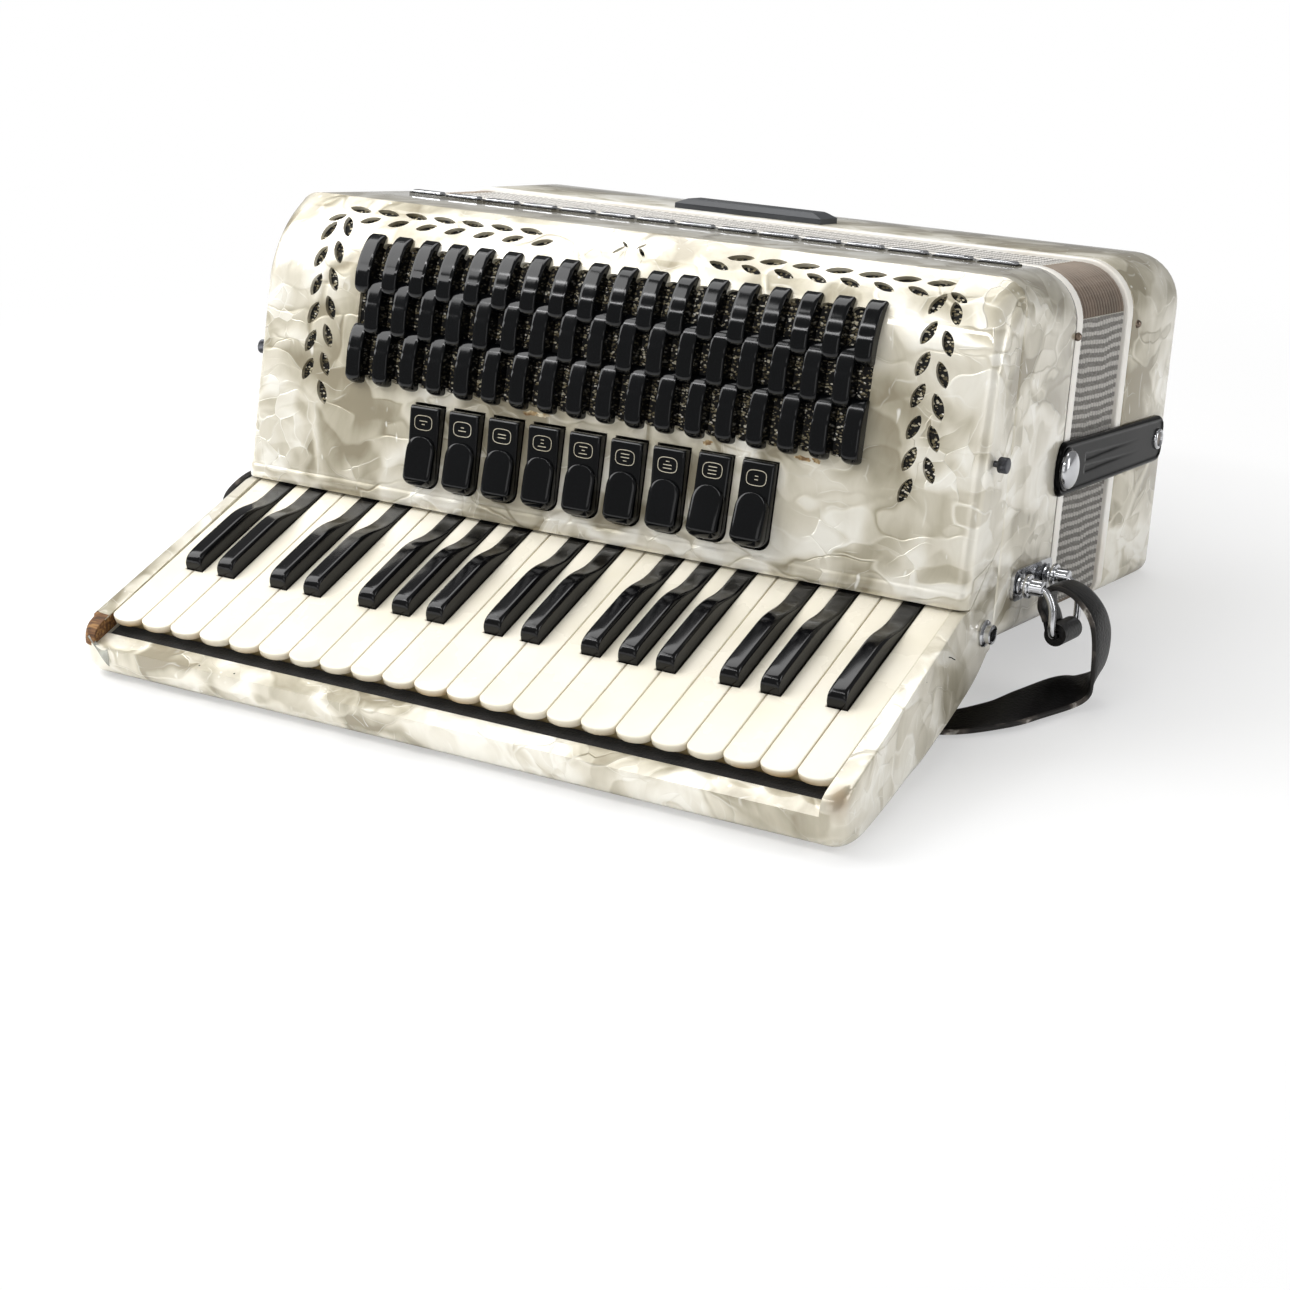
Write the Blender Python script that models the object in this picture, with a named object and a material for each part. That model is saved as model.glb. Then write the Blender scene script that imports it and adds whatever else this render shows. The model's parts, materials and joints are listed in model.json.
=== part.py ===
# %% [markdown]
# Piano accordion lying on its back: treble section with keyboard, folded bellows and bass section.
# Sizes are worked out from the width of one white key. X runs along the keyboard, Y along the
# bellows towards the bass side, Z towards the audience. The whole instrument is then tipped by
# its resting angle, so that world Z is the normal of the table it lies on.

# %%
import math

import bmesh
import bpy
import numpy as np
from mathutils import Vector

for old in list(bpy.data.objects):
    bpy.data.objects.remove(old, do_unlink=True)

MM = 0.001

# %% [markdown]
# Driving dimensions.

# %%
GAP = 0.3 * MM  # between pieces that touch

# Keyboard
WHITE_PITCH = 19.4 * MM
WHITE_COUNT = 22
FIRST_NOTE = 4  # 0 is C, so the lowest white key is a G
NOTES_WITH_BLACK = {0: -1.4 * MM, 1: 1.4 * MM, 3: -2.0 * MM, 4: 0.0, 5: 2.0 * MM}
KEY_SLOPE = math.radians(24.9)
KEY_GAP = 0.5 * MM
KEY_LENGTH = 157 * MM  # from the notch line at the front to the tail
KEY_DEPTH = 16 * MM
KEY_PLATE = 4 * MM
KEY_TIP = 5.5 * MM
KEY_TIP_OVERHANG = 3 * MM
BLACK_WIDTH = 10.5 * MM
BLACK_FRONT = 46 * MM
BLACK_TAIL = 45 * MM  # low end of a black key, which runs on under the grille
BLACK_SLOPE = 18 * MM
BLACK_HEIGHT = 8.8 * MM
BLACK_TAIL_HEIGHT = 1.2 * MM
AXLE_FROM_TAIL = 7 * MM
AXLE_BELOW = 8 * MM
AXLE_RADIUS = 1.5 * MM
AXLE_CLEARANCE = 0.4 * MM

# Keyboard bed
CHEEK = 7 * MM
CHEEK_BULGE = 4 * MM
WELL_DEPTH = 22 * MM
FELT_DEPTH = 12 * MM
FELT_BACK = 2 * MM
RIM_DEPTH = 8 * MM
RIM_INNER = 9 * MM
RIM_WIDTH = 13 * MM
BED_ROUND = 9 * MM
BED_WALL = 2.4 * MM
SOCKET_DEPTH = 10.7 * MM  # in front of the seam
SOCKET_Z = 42 * MM
SOCKET_RADIUS = 6 * MM
FRONT_CONTACT = (-10 * MM, -31.5 * MM)  # along and above the keys: where the front edge rests

# Grille cover
TAIL_ROOM = 8.56 * MM  # behind the keys, to the seam
GRILLE_HEIGHT = 159.2 * MM
COVER_WALL = 2.5 * MM
COVER_ROUND = 14 * MM  # of the seam's upper corners
COVER_EDGE = 6 * MM  # of the panel's ends
LIP_ROOM = 2.75 * MM  # over the keys
LIP_HEIGHT = 9 * MM
LIP_BULGE = 1.6 * MM
PANEL_DEPTH = 39.1 * MM  # of the panel's foot in front of the seam
KNEE_DEPTH = 28.2 * MM
KNEE_RISE = 114.2 * MM
COVER_SIDE_DEPTH = 31.7 * MM
COVER_SIDE_SLOPE = math.radians(44)
SCREW_DEPTH = 20.7 * MM
SCREW_RISE = 71.2 * MM
SCREW_RADIUS = 4 * MM
SCREW_LENGTH = 8 * MM

# Louvres, in rows of bars from the top row down. Each row runs between two heights over the lip
BAR_PITCH = 17.755 * MM
BAR_WIDTH = 9.4 * MM
BAR_RISE = 7 * MM
BAR_COUNTS = (18, 17, 18)
BAR_LOW = (110.2 * MM, 88.2 * MM, 61.7 * MM)
BAR_HIGH = (141.7 * MM, 119.2 * MM, 94.2 * MM)
WINDOW_EDGE = 4 * MM
SCREEN_THICK = 1.6 * MM

# Laurel of cut-outs
LEAF_LENGTH = 15.5 * MM
LEAF_WIDTH = 6.2 * MM
LEAF_TOP_WIDTH = 4.4 * MM
LEAF_SIDE_INSET = 30.4 * MM  # of a side's stem from the end of the keyboard
LEAF_CENTRE_SHIFT = 3.2 * MM
LEAF_SPLIT = 5.6 * MM
LEAF_TOP_SPLIT = 3.3 * MM
LEAF_SIDE_STEP = 15.6 * MM
LEAF_SIDE_COUNT = 6
LEAF_TOP_STEP = 18.6 * MM
LEAF_TOP_COUNT = 7
LEAF_BELOW_TOP = 8.2 * MM

# Register tabs
TAB_COUNT = 9
TAB_PITCH = 25.3 * MM
TAB_WIDTH = 19.2 * MM
TAB_LENGTH = 44 * MM
TAB_RAISE = 12.2 * MM  # of a tab's foot over the lip
TAB_RISE = 5 * MM
PADDLE_RISE = 9.5 * MM
PADDLE_WIDTH = 17.2 * MM
TAB_TILT = math.radians(3.5)
TAB_PRESSED = (7, 8)
TAB_CLEARANCE = 1.0 * MM

# Treble body, bellows and bass section along Y
TREBLE_DEPTH = 75.2 * MM
BODY_BACK = 33 * MM
TREBLE_ROUND = 28 * MM
BACK_ROUND = 10 * MM
FRAME_THICK = 8 * MM
BELLOWS_CLOSED = 68.5 * MM
FOLD_COUNT = 17
FOLD_DEPTH = 16 * MM
BELLOWS_INSET = 2 * MM
BASS_DEPTH = 84 * MM
BASS_ROUND = 12 * MM

# Bass recess, buttons and hand strap
RECESS_DEPTH = 50 * MM
RECESS_HEIGHT = 82 * MM
RECESS_END = 20 * MM
BUTTON_ROWS = 5
BUTTON_COLUMNS = 16
BUTTON_PITCH = 17 * MM
BUTTON_ROW_PITCH = 13 * MM
BUTTON_RADIUS = 3.2 * MM
BUTTON_HEIGHT = 6 * MM
BOARD_THICK = 3 * MM
HAND_STRAP_WIDTH = 42 * MM
HAND_STRAP_THICK = 4 * MM
HAND_STRAP_BOW = 3 * MM
HAND_STRAP_SET = 8 * MM  # of its outer face behind the end face

# Vent plate on the front of the bass section
VENT_LENGTH = 96 * MM
VENT_WIDTH = 22 * MM
VENT_RISE = 6 * MM
VENT_CENTRE_X = 192 * MM
VENT_NEAR_Y = 4 * MM

# Bellows straps
CLASP_Z = 115 * MM
CLASP_WIDTH = 29 * MM
CLASP_THICK = 2.6 * MM
CLASP_CAP_BEFORE = 0.3 * MM  # the treble body's back
CLASP_RIVET_BEFORE = 24.6 * MM  # the bass end
CLASP_END = 8 * MM
CAP_RADIUS = 10.5 * MM
CAP_HEIGHT = 5 * MM
RIVET_RADIUS = 6 * MM
RIVET_HEIGHT = 1.6 * MM

# Strap brackets and shoulder strap
BRACKET_BEFORE = 11.4 * MM  # the treble body's back
BRACKET_ROOM = 11.5 * MM  # beside the strap, between the posts' middles
BRACKET_Z = 61 * MM
POST_RADIUS = 4.2 * MM
POST_LENGTH = 12 * MM
COLLAR_RADIUS = 6.4 * MM
COLLAR_THICK = 3 * MM
BAIL_RADIUS = 2 * MM
BAIL_DROP = 24 * MM
STRAP_WIDTH = 25 * MM
STRAP_THICK = 4 * MM

# %% [markdown]
# Lengths that follow from the driving dimensions.

# %%
KEYBOARD = WHITE_COUNT * WHITE_PITCH
MID_X = KEYBOARD / 2
LEFT = -CHEEK
RIGHT = KEYBOARD + CHEEK
ALONG = (math.cos(KEY_SLOPE), math.sin(KEY_SLOPE))
SEAM_Y = KEY_LENGTH * ALONG[0] + KEY_DEPTH * ALONG[1] + TAIL_ROOM
PANEL_FOOT_Y = SEAM_Y - PANEL_DEPTH
PANEL_KNEE_Y = SEAM_Y - KNEE_DEPTH
COVER_SIDE_Y = SEAM_Y - COVER_SIDE_DEPTH
SCREW_Y = SEAM_Y - SCREW_DEPTH
LIP_BOTTOM = PANEL_FOOT_Y * math.tan(KEY_SLOPE) + LIP_ROOM
BODY_TOP = LIP_BOTTOM + GRILLE_HEIGHT
PANEL_KNEE_Z = LIP_BOTTOM + KNEE_RISE
SCREW_Z = LIP_BOTTOM + SCREW_RISE
BAR_ROWS = [(LIP_BOTTOM + low, LIP_BOTTOM + high, n) for low, high, n in zip(BAR_LOW, BAR_HIGH, BAR_COUNTS)]
LEAF_SIDE_HALF = KEYBOARD / 2 - LEAF_SIDE_INSET
LEAF_TOP_Z = BODY_TOP - LEAF_BELOW_TOP
TAB_FOOT_Z = LIP_BOTTOM + TAB_RAISE
TREBLE_BACK_Y = SEAM_Y + TREBLE_DEPTH
TREBLE_FRAME_Y = TREBLE_BACK_Y + GAP
BELLOWS_Y = TREBLE_FRAME_Y + FRAME_THICK + GAP
BASS_FRAME_Y = BELLOWS_Y + BELLOWS_CLOSED + GAP
BASS_Y = BASS_FRAME_Y + FRAME_THICK + GAP
BASS_END_Y = BASS_Y + BASS_DEPTH
RECESS_Y = BASS_END_Y - RECESS_DEPTH
RECESS_TOP = BODY_BACK + RECESS_HEIGHT
CLASP_CAP_Y = TREBLE_BACK_Y - CLASP_CAP_BEFORE
CLASP_RIVET_Y = BASS_END_Y - CLASP_RIVET_BEFORE
BRACKET_HIGH_Y = TREBLE_BACK_Y - BRACKET_BEFORE
BRACKET_Y = (BRACKET_HIGH_Y - STRAP_WIDTH - BRACKET_ROOM, BRACKET_HIGH_Y)


def key_point(along, above):
    """(y, z) of a point at this distance along the keys and above their top plane."""
    return (along * ALONG[0] - above * ALONG[1], along * ALONG[1] + above * ALONG[0])


AXLE_Y, AXLE_Z = key_point(KEY_LENGTH - AXLE_FROM_TAIL, -AXLE_BELOW)


# %% [markdown]
# Tools for meshes: an object from points and faces, a prism, a loft and a Boolean that is
# applied at once.

# %%
def material(name, colour, roughness, metallic=0.0):
    made = bpy.data.materials.new(name)
    made.use_nodes = True
    shader = made.node_tree.nodes["Principled BSDF"]
    shader.inputs["Base Color"].default_value = (*colour, 1.0)
    shader.inputs["Roughness"].default_value = roughness
    shader.inputs["Metallic"].default_value = metallic
    return made


def add_object(name, points, faces, look, origin=(0.0, 0.0, 0.0)):
    """A mesh object whose points are given in the instrument's frame and kept from its origin."""
    mesh = bpy.data.meshes.new(name)
    mesh.from_pydata([Vector(p) - Vector(origin) for p in points], [], faces)
    shape = bmesh.new()
    shape.from_mesh(mesh)
    bmesh.ops.remove_doubles(shape, verts=shape.verts, dist=1e-6)
    bmesh.ops.recalc_face_normals(shape, faces=shape.faces)
    shape.to_mesh(mesh)
    shape.free()
    made = bpy.data.objects.new(name, mesh)
    made.location = origin
    bpy.context.scene.collection.objects.link(made)
    if look:
        mesh.materials.append(look)
    return made


def loft(sections):
    """Points and faces of a closed solid through loops that have the same number of points."""
    count = len(sections[0])
    points = [point for section in sections for point in section]
    faces = [tuple(range(count)), tuple(reversed(range(len(points) - count, len(points))))]
    for row in range(len(sections) - 1):
        for k in range(count):
            after = (k + 1) % count
            low, high = row * count, (row + 1) * count
            faces.append((low + after, low + k, high + k, high + after))
    return points, faces


def prism_x(outline, low, high):
    """A solid from a (y, z) outline, drawn out along X."""
    return loft([[(x, y, z) for y, z in outline] for x in (low, high)])


def rod(ends, radius, sides):
    """A round bar between two points."""
    start, end = (Vector(p) for p in ends)
    turn = (end - start).to_track_quat("Z", "Y")
    rings = []
    for centre in (start, end):
        angles = [2 * math.pi * (k + 0.5) / sides for k in range(sides)]
        rings.append(
            [centre + turn @ Vector((radius * math.cos(a), radius * math.sin(a), 0)) for a in angles]
        )
    return loft(rings)


def combine(target, cutters, operation):
    """Applies a Boolean with helper objects, then removes them."""
    group = bpy.data.collections.new("helpers")
    for cutter in cutters:
        group.objects.link(cutter)
    cut = target.modifiers.new("cut", "BOOLEAN")
    cut.operation = operation
    cut.solver = "EXACT"
    cut.operand_type = "COLLECTION"
    cut.collection = group
    bpy.context.view_layer.update()
    graph = bpy.context.evaluated_depsgraph_get()
    result = bpy.data.meshes.new_from_object(target.evaluated_get(graph))
    target.modifiers.clear()
    target.data = result
    for cutter in cutters:
        bpy.data.objects.remove(cutter, do_unlink=True)
    bpy.data.collections.remove(group)
    return target


def helper(points, faces):
    return add_object("helper", points, faces, None)


def rounded_box(inset, top_round, back_round, back=None):
    """(x, z) outline across the instrument: rounded more at the audience side than at the back."""
    back = BODY_BACK if back is None else back
    corners = (
        (RIGHT, BODY_TOP, top_round, 0),
        (LEFT, BODY_TOP, top_round, 1),
        (LEFT, back, back_round, 2),
        (RIGHT, back, back_round, 3),
    )
    outline = []
    for x, z, radius, quarter in corners:
        sign_x = 1 if x > MID_X else -1
        sign_z = 1 if z == BODY_TOP else -1
        radius = max(radius - inset, 1 * MM)
        steps = 5 if z == BODY_TOP else 3
        for k in range(steps + 1):
            angle = math.pi / 2 * (quarter + k / steps)
            outline.append(
                (
                    x - sign_x * (inset + radius) + radius * math.cos(angle),
                    z - sign_z * (inset + radius) + radius * math.sin(angle),
                )
            )
    return outline


def box_section(y, inset, top_round=None, back_round=BACK_ROUND):
    top_round = TREBLE_ROUND if top_round is None else top_round
    return [(x, y, z) for x, z in rounded_box(inset, top_round, back_round)]


# %% [markdown]
# Materials, from the colours in the photograph.

# %%
PEARL = material("pearl_celluloid", (0.78, 0.75, 0.64), 0.25)
IVORY = material("ivory_plastic", (0.86, 0.82, 0.70), 0.22)
BLACK = material("black_plastic", (0.01, 0.01, 0.012), 0.15)
CHROME = material("chrome", (0.75, 0.75, 0.76), 0.15, 1.0)
CLOTH = material("bellows_cloth", (0.16, 0.11, 0.08), 0.8)
LEATHER = material("black_leather", (0.015, 0.015, 0.015), 0.5)
BUTTON = material("button_plastic", (0.80, 0.76, 0.66), 0.3)


# %% [markdown]
# The panel of the grille cover in profile: a leaning flat that rolls back to the seam in one arc.
# The length u is measured from the foot of the flat, and v stands off the panel.

# %%
PANEL_FOOT = np.array([PANEL_FOOT_Y, LIP_BOTTOM + LIP_HEIGHT])
PANEL_KNEE = np.array([PANEL_KNEE_Y, PANEL_KNEE_Z])
PANEL_FLAT = float(np.linalg.norm(PANEL_KNEE - PANEL_FOOT))
PANEL_UP = (PANEL_KNEE - PANEL_FOOT) / PANEL_FLAT
PANEL_OUT = np.array([-PANEL_UP[1], PANEL_UP[0]])
CHORD = np.array([SEAM_Y - GAP, BODY_TOP]) - PANEL_KNEE
TURN = math.acos(float(CHORD @ PANEL_UP) / float(np.linalg.norm(CHORD)))
ARC_RADIUS = float(np.linalg.norm(CHORD)) / (2 * math.sin(TURN))
ARC_LENGTH = 2 * TURN * ARC_RADIUS
ARC_CENTRE = PANEL_KNEE - PANEL_OUT * ARC_RADIUS


def panel(u, v=0.0):
    """(y, z) of the panel at length u, moved v outwards along its normal."""
    if u <= PANEL_FLAT:
        return PANEL_FOOT + PANEL_UP * u + PANEL_OUT * v
    angle = (u - PANEL_FLAT) / ARC_RADIUS
    out = PANEL_OUT * math.cos(angle) + PANEL_UP * math.sin(angle)
    return ARC_CENTRE + out * (ARC_RADIUS + v)


def panel_at(z):
    """Length u at which the panel reaches height z."""
    if z <= PANEL_KNEE_Z:
        return (z - PANEL_FOOT[1]) / PANEL_UP[1]
    low, high = PANEL_FLAT, PANEL_FLAT + ARC_LENGTH
    for _ in range(40):
        middle = (low + high) / 2
        low, high = (middle, high) if panel(middle)[1] < z else (low, middle)
    return low


# %% [markdown]
# Grille cover: a hood whose front edge turns round into the end walls, hollow behind, with the
# louvre window, the slots of the register tabs and the laurel cut through it.

# %%
def hood_section(inward, x, wall):
    """One cross-section of the hood. Each point is drawn in along a quarter circle near the ends."""

    def depth(radius):
        radius = radius - wall
        short = max(radius - inward, 0.0)
        return wall + radius - math.sqrt(radius**2 - short**2)

    edge = depth(COVER_EDGE)
    outline = []
    for part, bulge in ((0.0, 0.2), (0.35, 1.0), (0.75, 0.9), (0.95, -0.35)):
        outline.append((PANEL_FOOT_Y - LIP_BULGE * bulge + edge, LIP_BOTTOM + LIP_HEIGHT * part))
    for u in (1.5 * MM, PANEL_FLAT * 0.98):
        outline.append(tuple(panel(u, -edge)))
    for k in range(9):
        mix = k / 9
        y, z = panel(PANEL_FLAT + ARC_LENGTH * mix, -depth(COVER_EDGE + (COVER_ROUND - COVER_EDGE) * mix))
        outline.append((min(y, SEAM_Y - 2 * GAP), z))
    top = BODY_TOP - depth(COVER_ROUND)
    outline.append((SEAM_Y - GAP, top))
    if wall:
        back = SEAM_Y + 9 * MM
        outline += [(back, top), (back, 0.0), (outline[0][0], 0.0)]
    else:
        back = SEAM_Y - GAP
        side = (back - COVER_SIDE_Y) * math.tan(COVER_SIDE_SLOPE)
        outline += [(back, LIP_BOTTOM + side), (COVER_SIDE_Y, LIP_BOTTOM)]
    return [(x, y, z) for y, z in outline]


def hood(wall):
    """The hood's solid, or with a wall its hollow."""
    radius = COVER_ROUND - wall
    stations = [0.0, 0.02, 0.08, 0.18, 0.32, 0.5, 0.72, 1.0]
    sections = []
    for side in (-1, 1):
        for part in stations if side < 0 else stations[::-1]:
            inward = radius * part
            x = LEFT + wall + inward if side < 0 else RIGHT - wall - inward
            sections.append(hood_section(inward, x, wall))
    return loft(sections)


def leaf(x, u, angle, length, width):
    """A cutter in the shape of a pointed leaf, square to the panel."""
    outline = []
    for k in range(8):
        t = k / 4 if k <= 4 else (8 - k) / 4
        side = 1 if k <= 4 else -1
        along = length * (t - 0.5)
        across = side * width / 2 * math.sin(math.pi * t) ** 0.65
        outline.append((along, across))
    sections = []
    for v in (-COVER_WALL - 2.5 * MM, 4 * MM):
        loop = []
        for along, across in outline:
            dx = across * math.cos(angle) + along * math.sin(angle)
            du = along * math.cos(angle) - across * math.sin(angle)
            base = panel(u)
            near = panel(u + 0.1 * MM)
            up = (near - base) / (0.1 * MM)
            out = np.array([-up[1], up[0]])
            y, z = base + up * du + out * v
            loop.append((x + dx, y, z))
        sections.append(loop)
    return helper(*loft(sections))


def laurel():
    """Two leaves at each step of a stem that runs from the middle along the top and down a side."""
    cutters = []
    centre = MID_X + LEAF_CENTRE_SHIFT
    top = panel_at(LEAF_TOP_Z)
    tilt = math.radians(24)
    for side in (-1, 1):
        stem = centre + side * LEAF_SIDE_HALF
        for k in range(LEAF_SIDE_COUNT + 1):
            u = top - 9 * MM - LEAF_SIDE_STEP * k
            if k < LEAF_SIDE_COUNT:
                cutters.append(
                    leaf(stem + side * LEAF_SPLIT, u - 4 * MM, -side * tilt, LEAF_LENGTH * 0.9, LEAF_WIDTH)
                )
            cutters.append(leaf(stem - side * LEAF_SPLIT, u, side * tilt, LEAF_LENGTH * 0.9, LEAF_WIDTH))
        flat = math.pi / 2
        corner = (stem + side * 4 * MM, top - 4 * MM)
        cutters.append(leaf(*corner, flat + side * 0.45, LEAF_LENGTH * 0.75, LEAF_TOP_WIDTH))
        for k in range(LEAF_TOP_COUNT):
            x = stem - side * (14 * MM + LEAF_TOP_STEP * k)
            below = (x - side * 4 * MM, top - LEAF_TOP_SPLIT, flat + side * 0.3, LEAF_LENGTH * 0.85)
            above = (x + side * 6 * MM, top + LEAF_TOP_SPLIT, flat - side * 0.12, LEAF_LENGTH)
            cutters += [leaf(*place, LEAF_TOP_WIDTH) for place in (below, above)]
    return cutters


def field_x(row_count):
    """X of each bar in a row."""
    return [MID_X + BAR_PITCH * (k - (row_count - 1) / 2) for k in range(row_count)]


def louvre_window():
    """Cutter of the field that the louvres stand in: a slab that follows the panel's curve."""
    half = BAR_PITCH * (BAR_ROWS[0][2] - 1) / 2 + BAR_WIDTH / 2 + GAP
    low, high = panel_at(BAR_ROWS[2][0]) - GAP, panel_at(BAR_ROWS[0][1]) + GAP
    steps = 10
    outer = [panel(low + (high - low) * k / steps, 12 * MM) for k in range(steps + 1)]
    inner = [panel(low + (high - low) * k / steps, -COVER_WALL - 1.0 * MM) for k in range(steps + 1)]
    return helper(*prism_x(outer + inner[::-1], MID_X - half, MID_X + half))


def tab_x(index):
    return MID_X + TAB_PITCH * (index - (TAB_COUNT - 1) / 2)


TAB_U = (TAB_FOOT_Z - PANEL_FOOT[1]) / PANEL_UP[1]
TAB_AXIS = PANEL_FOOT + PANEL_UP * (TAB_U + TAB_LENGTH / 2) - PANEL_OUT * 3 * MM


def tab_slot(index):
    low, high = TAB_U - TAB_CLEARANCE, TAB_U + TAB_LENGTH + TAB_CLEARANCE
    outline = [panel(low, 9 * MM), panel(high, 9 * MM), panel(high, -9 * MM), panel(low, -9 * MM)]
    half = TAB_WIDTH / 2 + 0.5 * MM
    return helper(*prism_x(outline, tab_x(index) - half, tab_x(index) + half))


def grille_cover():
    cover = add_object("grille_cover", *hood(0.0), PEARL)
    combine(cover, [helper(*hood(COVER_WALL))], "DIFFERENCE")
    screws = []
    for x, way in ((LEFT, -1), (RIGHT, 1)):
        start = (x - way * 1.5 * MM, SCREW_Y, SCREW_Z)
        end = (x + way * SCREW_LENGTH, SCREW_Y, SCREW_Z)
        screws.append(helper(*rod((start, end), SCREW_RADIUS, 10)))
    combine(cover, screws, "UNION")
    cutters = [louvre_window()] + [tab_slot(k) for k in range(TAB_COUNT)] + laurel()
    return combine(cover, cutters, "DIFFERENCE")


# %% [markdown]
# Louvres: curved bars on a thin screen that follows the inside of the panel.

# %%
def bar_outline(low, high):
    """(y, z) outline of one bar: a foot rounded over, a long face and a crease before the top."""
    run = high - low
    shape = [(0.0, 0.0), (0.0, 0.45), (0.03, 0.75), (0.10, 0.95), (0.22, 1.0)]
    shape += [(0.66, 1.0), (0.86, 0.62), (1.0, 0.12)]
    outer = [panel(low + run * part, BAR_RISE * rise) for part, rise in shape]
    inner = [panel(low + run * part, -COVER_WALL - GAP - 0.4 * SCREEN_THICK) for part in (1.0, 0.5, 0.0)]
    return outer + inner


def grille_louvres():
    side = LEAF_SIDE_HALF + LEAF_SPLIT + 8 * MM
    centre = MID_X + LEAF_CENTRE_SHIFT
    low, high = panel_at(BAR_ROWS[2][0]) - WINDOW_EDGE, panel_at(LEAF_TOP_Z) + 6 * MM
    steps = 8
    stations = [low + (high - low) * k / steps for k in range(steps + 1)]
    outer = [panel(u, -COVER_WALL - GAP) for u in stations]
    inner = [panel(u, -COVER_WALL - GAP - SCREEN_THICK) for u in stations]
    board = prism_x(outer + inner[::-1], centre - side, centre + side)
    screen = add_object("grille_louvres", *board, BLACK)
    bars = []
    for bottom, top, count in BAR_ROWS:
        outline = bar_outline(panel_at(bottom), panel_at(top))
        for x in field_x(count):
            bars.append(helper(*prism_x(outline, x - BAR_WIDTH / 2, x + BAR_WIDTH / 2)))
    return combine(screen, bars, "UNION")


# %% [markdown]
# Register tabs: a rocking block with a raised paddle, in its slot of the panel.

# %%
def register_tab(index):
    x = tab_x(index)
    base = [(0.0, -6.0), (0.0, 0.4), (1.2, 2.6), (4.0, 3.9)]
    base += [(26.0, 4.6), (42.8, 5.0), (44.0, 4.0), (44.0, -6.0)]
    scale_u = TAB_LENGTH / (44 * MM)
    scale_v = TAB_RISE / (5 * MM)

    def place(u, v):
        point = PANEL_FOOT + PANEL_UP * (TAB_U + u * MM * scale_u) + PANEL_OUT * v * MM * scale_v
        return tuple(point)

    block = prism_x([place(u, v) for u, v in base], x - TAB_WIDTH / 2, x + TAB_WIDTH / 2)
    tab = add_object(f"register_tab_{index + 1}", *block, BLACK, (x, *TAB_AXIS))
    rise = PADDLE_RISE / TAB_RISE * 5
    paddle = []
    half = PADDLE_WIDTH / 2
    for part, height, width in ((1.6, 2.0, 0.80), (1.8, 5.4, 0.86), (4.0, rise, 0.94), (8.0, rise, 1.0)):
        paddle.append((part, height, width))
    for part, height, width in ((21.0, rise - 2.2, 1.0), (25.5, rise - 3.2, 0.8), (27.2, 4.2, 0.62)):
        paddle.append((part, height, width))
    sections = []
    for part, height, width in paddle:
        row = []
        for across, top in ((-1.0, 0.0), (-1.0, 0.72), (-0.86, 1.0), (0.86, 1.0), (1.0, 0.72), (1.0, 0.0)):
            y, z = place(part, 2.0 + (height - 2.0) * top + 0.001 * top)
            row.append((x + half * width * across, y, z))
        sections.append(row)
    combine(tab, [helper(*loft(sections))], "UNION")
    tab.rotation_euler.x = -TAB_TILT if index in TAB_PRESSED else TAB_TILT
    return tab


# %% [markdown]
# Keys: white keys have a thin rounded plate over a narrower front, and are notched for the
# black keys; every key is bored for the axle it turns on.

# %%
def black_x(white):
    """X of the black key after this white key, or None."""
    note = (FIRST_NOTE + white) % 7
    if note not in NOTES_WITH_BLACK or not 0 <= white < WHITE_COUNT - 1:
        return None
    return (white + 1) * WHITE_PITCH + NOTES_WITH_BLACK[note]


def bore(key, x):
    ends = ((x - WHITE_PITCH, AXLE_Y, AXLE_Z), (x + WHITE_PITCH, AXLE_Y, AXLE_Z))
    return combine(key, [helper(*rod(ends, AXLE_RADIUS + AXLE_CLEARANCE, 6))], "DIFFERENCE")


def white_key(index):
    left, right = index * WHITE_PITCH + KEY_GAP / 2, (index + 1) * WHITE_PITCH - KEY_GAP / 2
    before, after = black_x(index - 1), black_x(index)
    tail_left = before + BLACK_WIDTH / 2 + KEY_GAP if before is not None else left
    tail_right = after - BLACK_WIDTH / 2 - KEY_GAP if after is not None else right
    notch = BLACK_FRONT - KEY_GAP
    tip = []
    for k in range(7):
        part = k / 6
        tip.append((left + (right - left) * part, -KEY_TIP * math.sqrt(max(1 - (2 * part - 1) ** 2, 0.0))))
    sides = [(right, notch), (tail_right, notch), (tail_right, KEY_LENGTH)]
    sides += [(tail_left, KEY_LENGTH), (tail_left, notch), (left, notch)]
    sections = []
    for depth, front in ((KEY_DEPTH, True), (KEY_PLATE, True), (KEY_PLATE, False), (0.0, False)):
        loop = []
        for x, along in tip + sides:
            if front and along <= 0:
                along = KEY_TIP_OVERHANG
            loop.append((x, *key_point(along, -depth)))
        sections.append(loop)
    key = add_object(f"white_key_{index + 1:02d}", *loft(sections), IVORY, (0.0, AXLE_Y, AXLE_Z))
    return bore(key, left)


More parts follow.
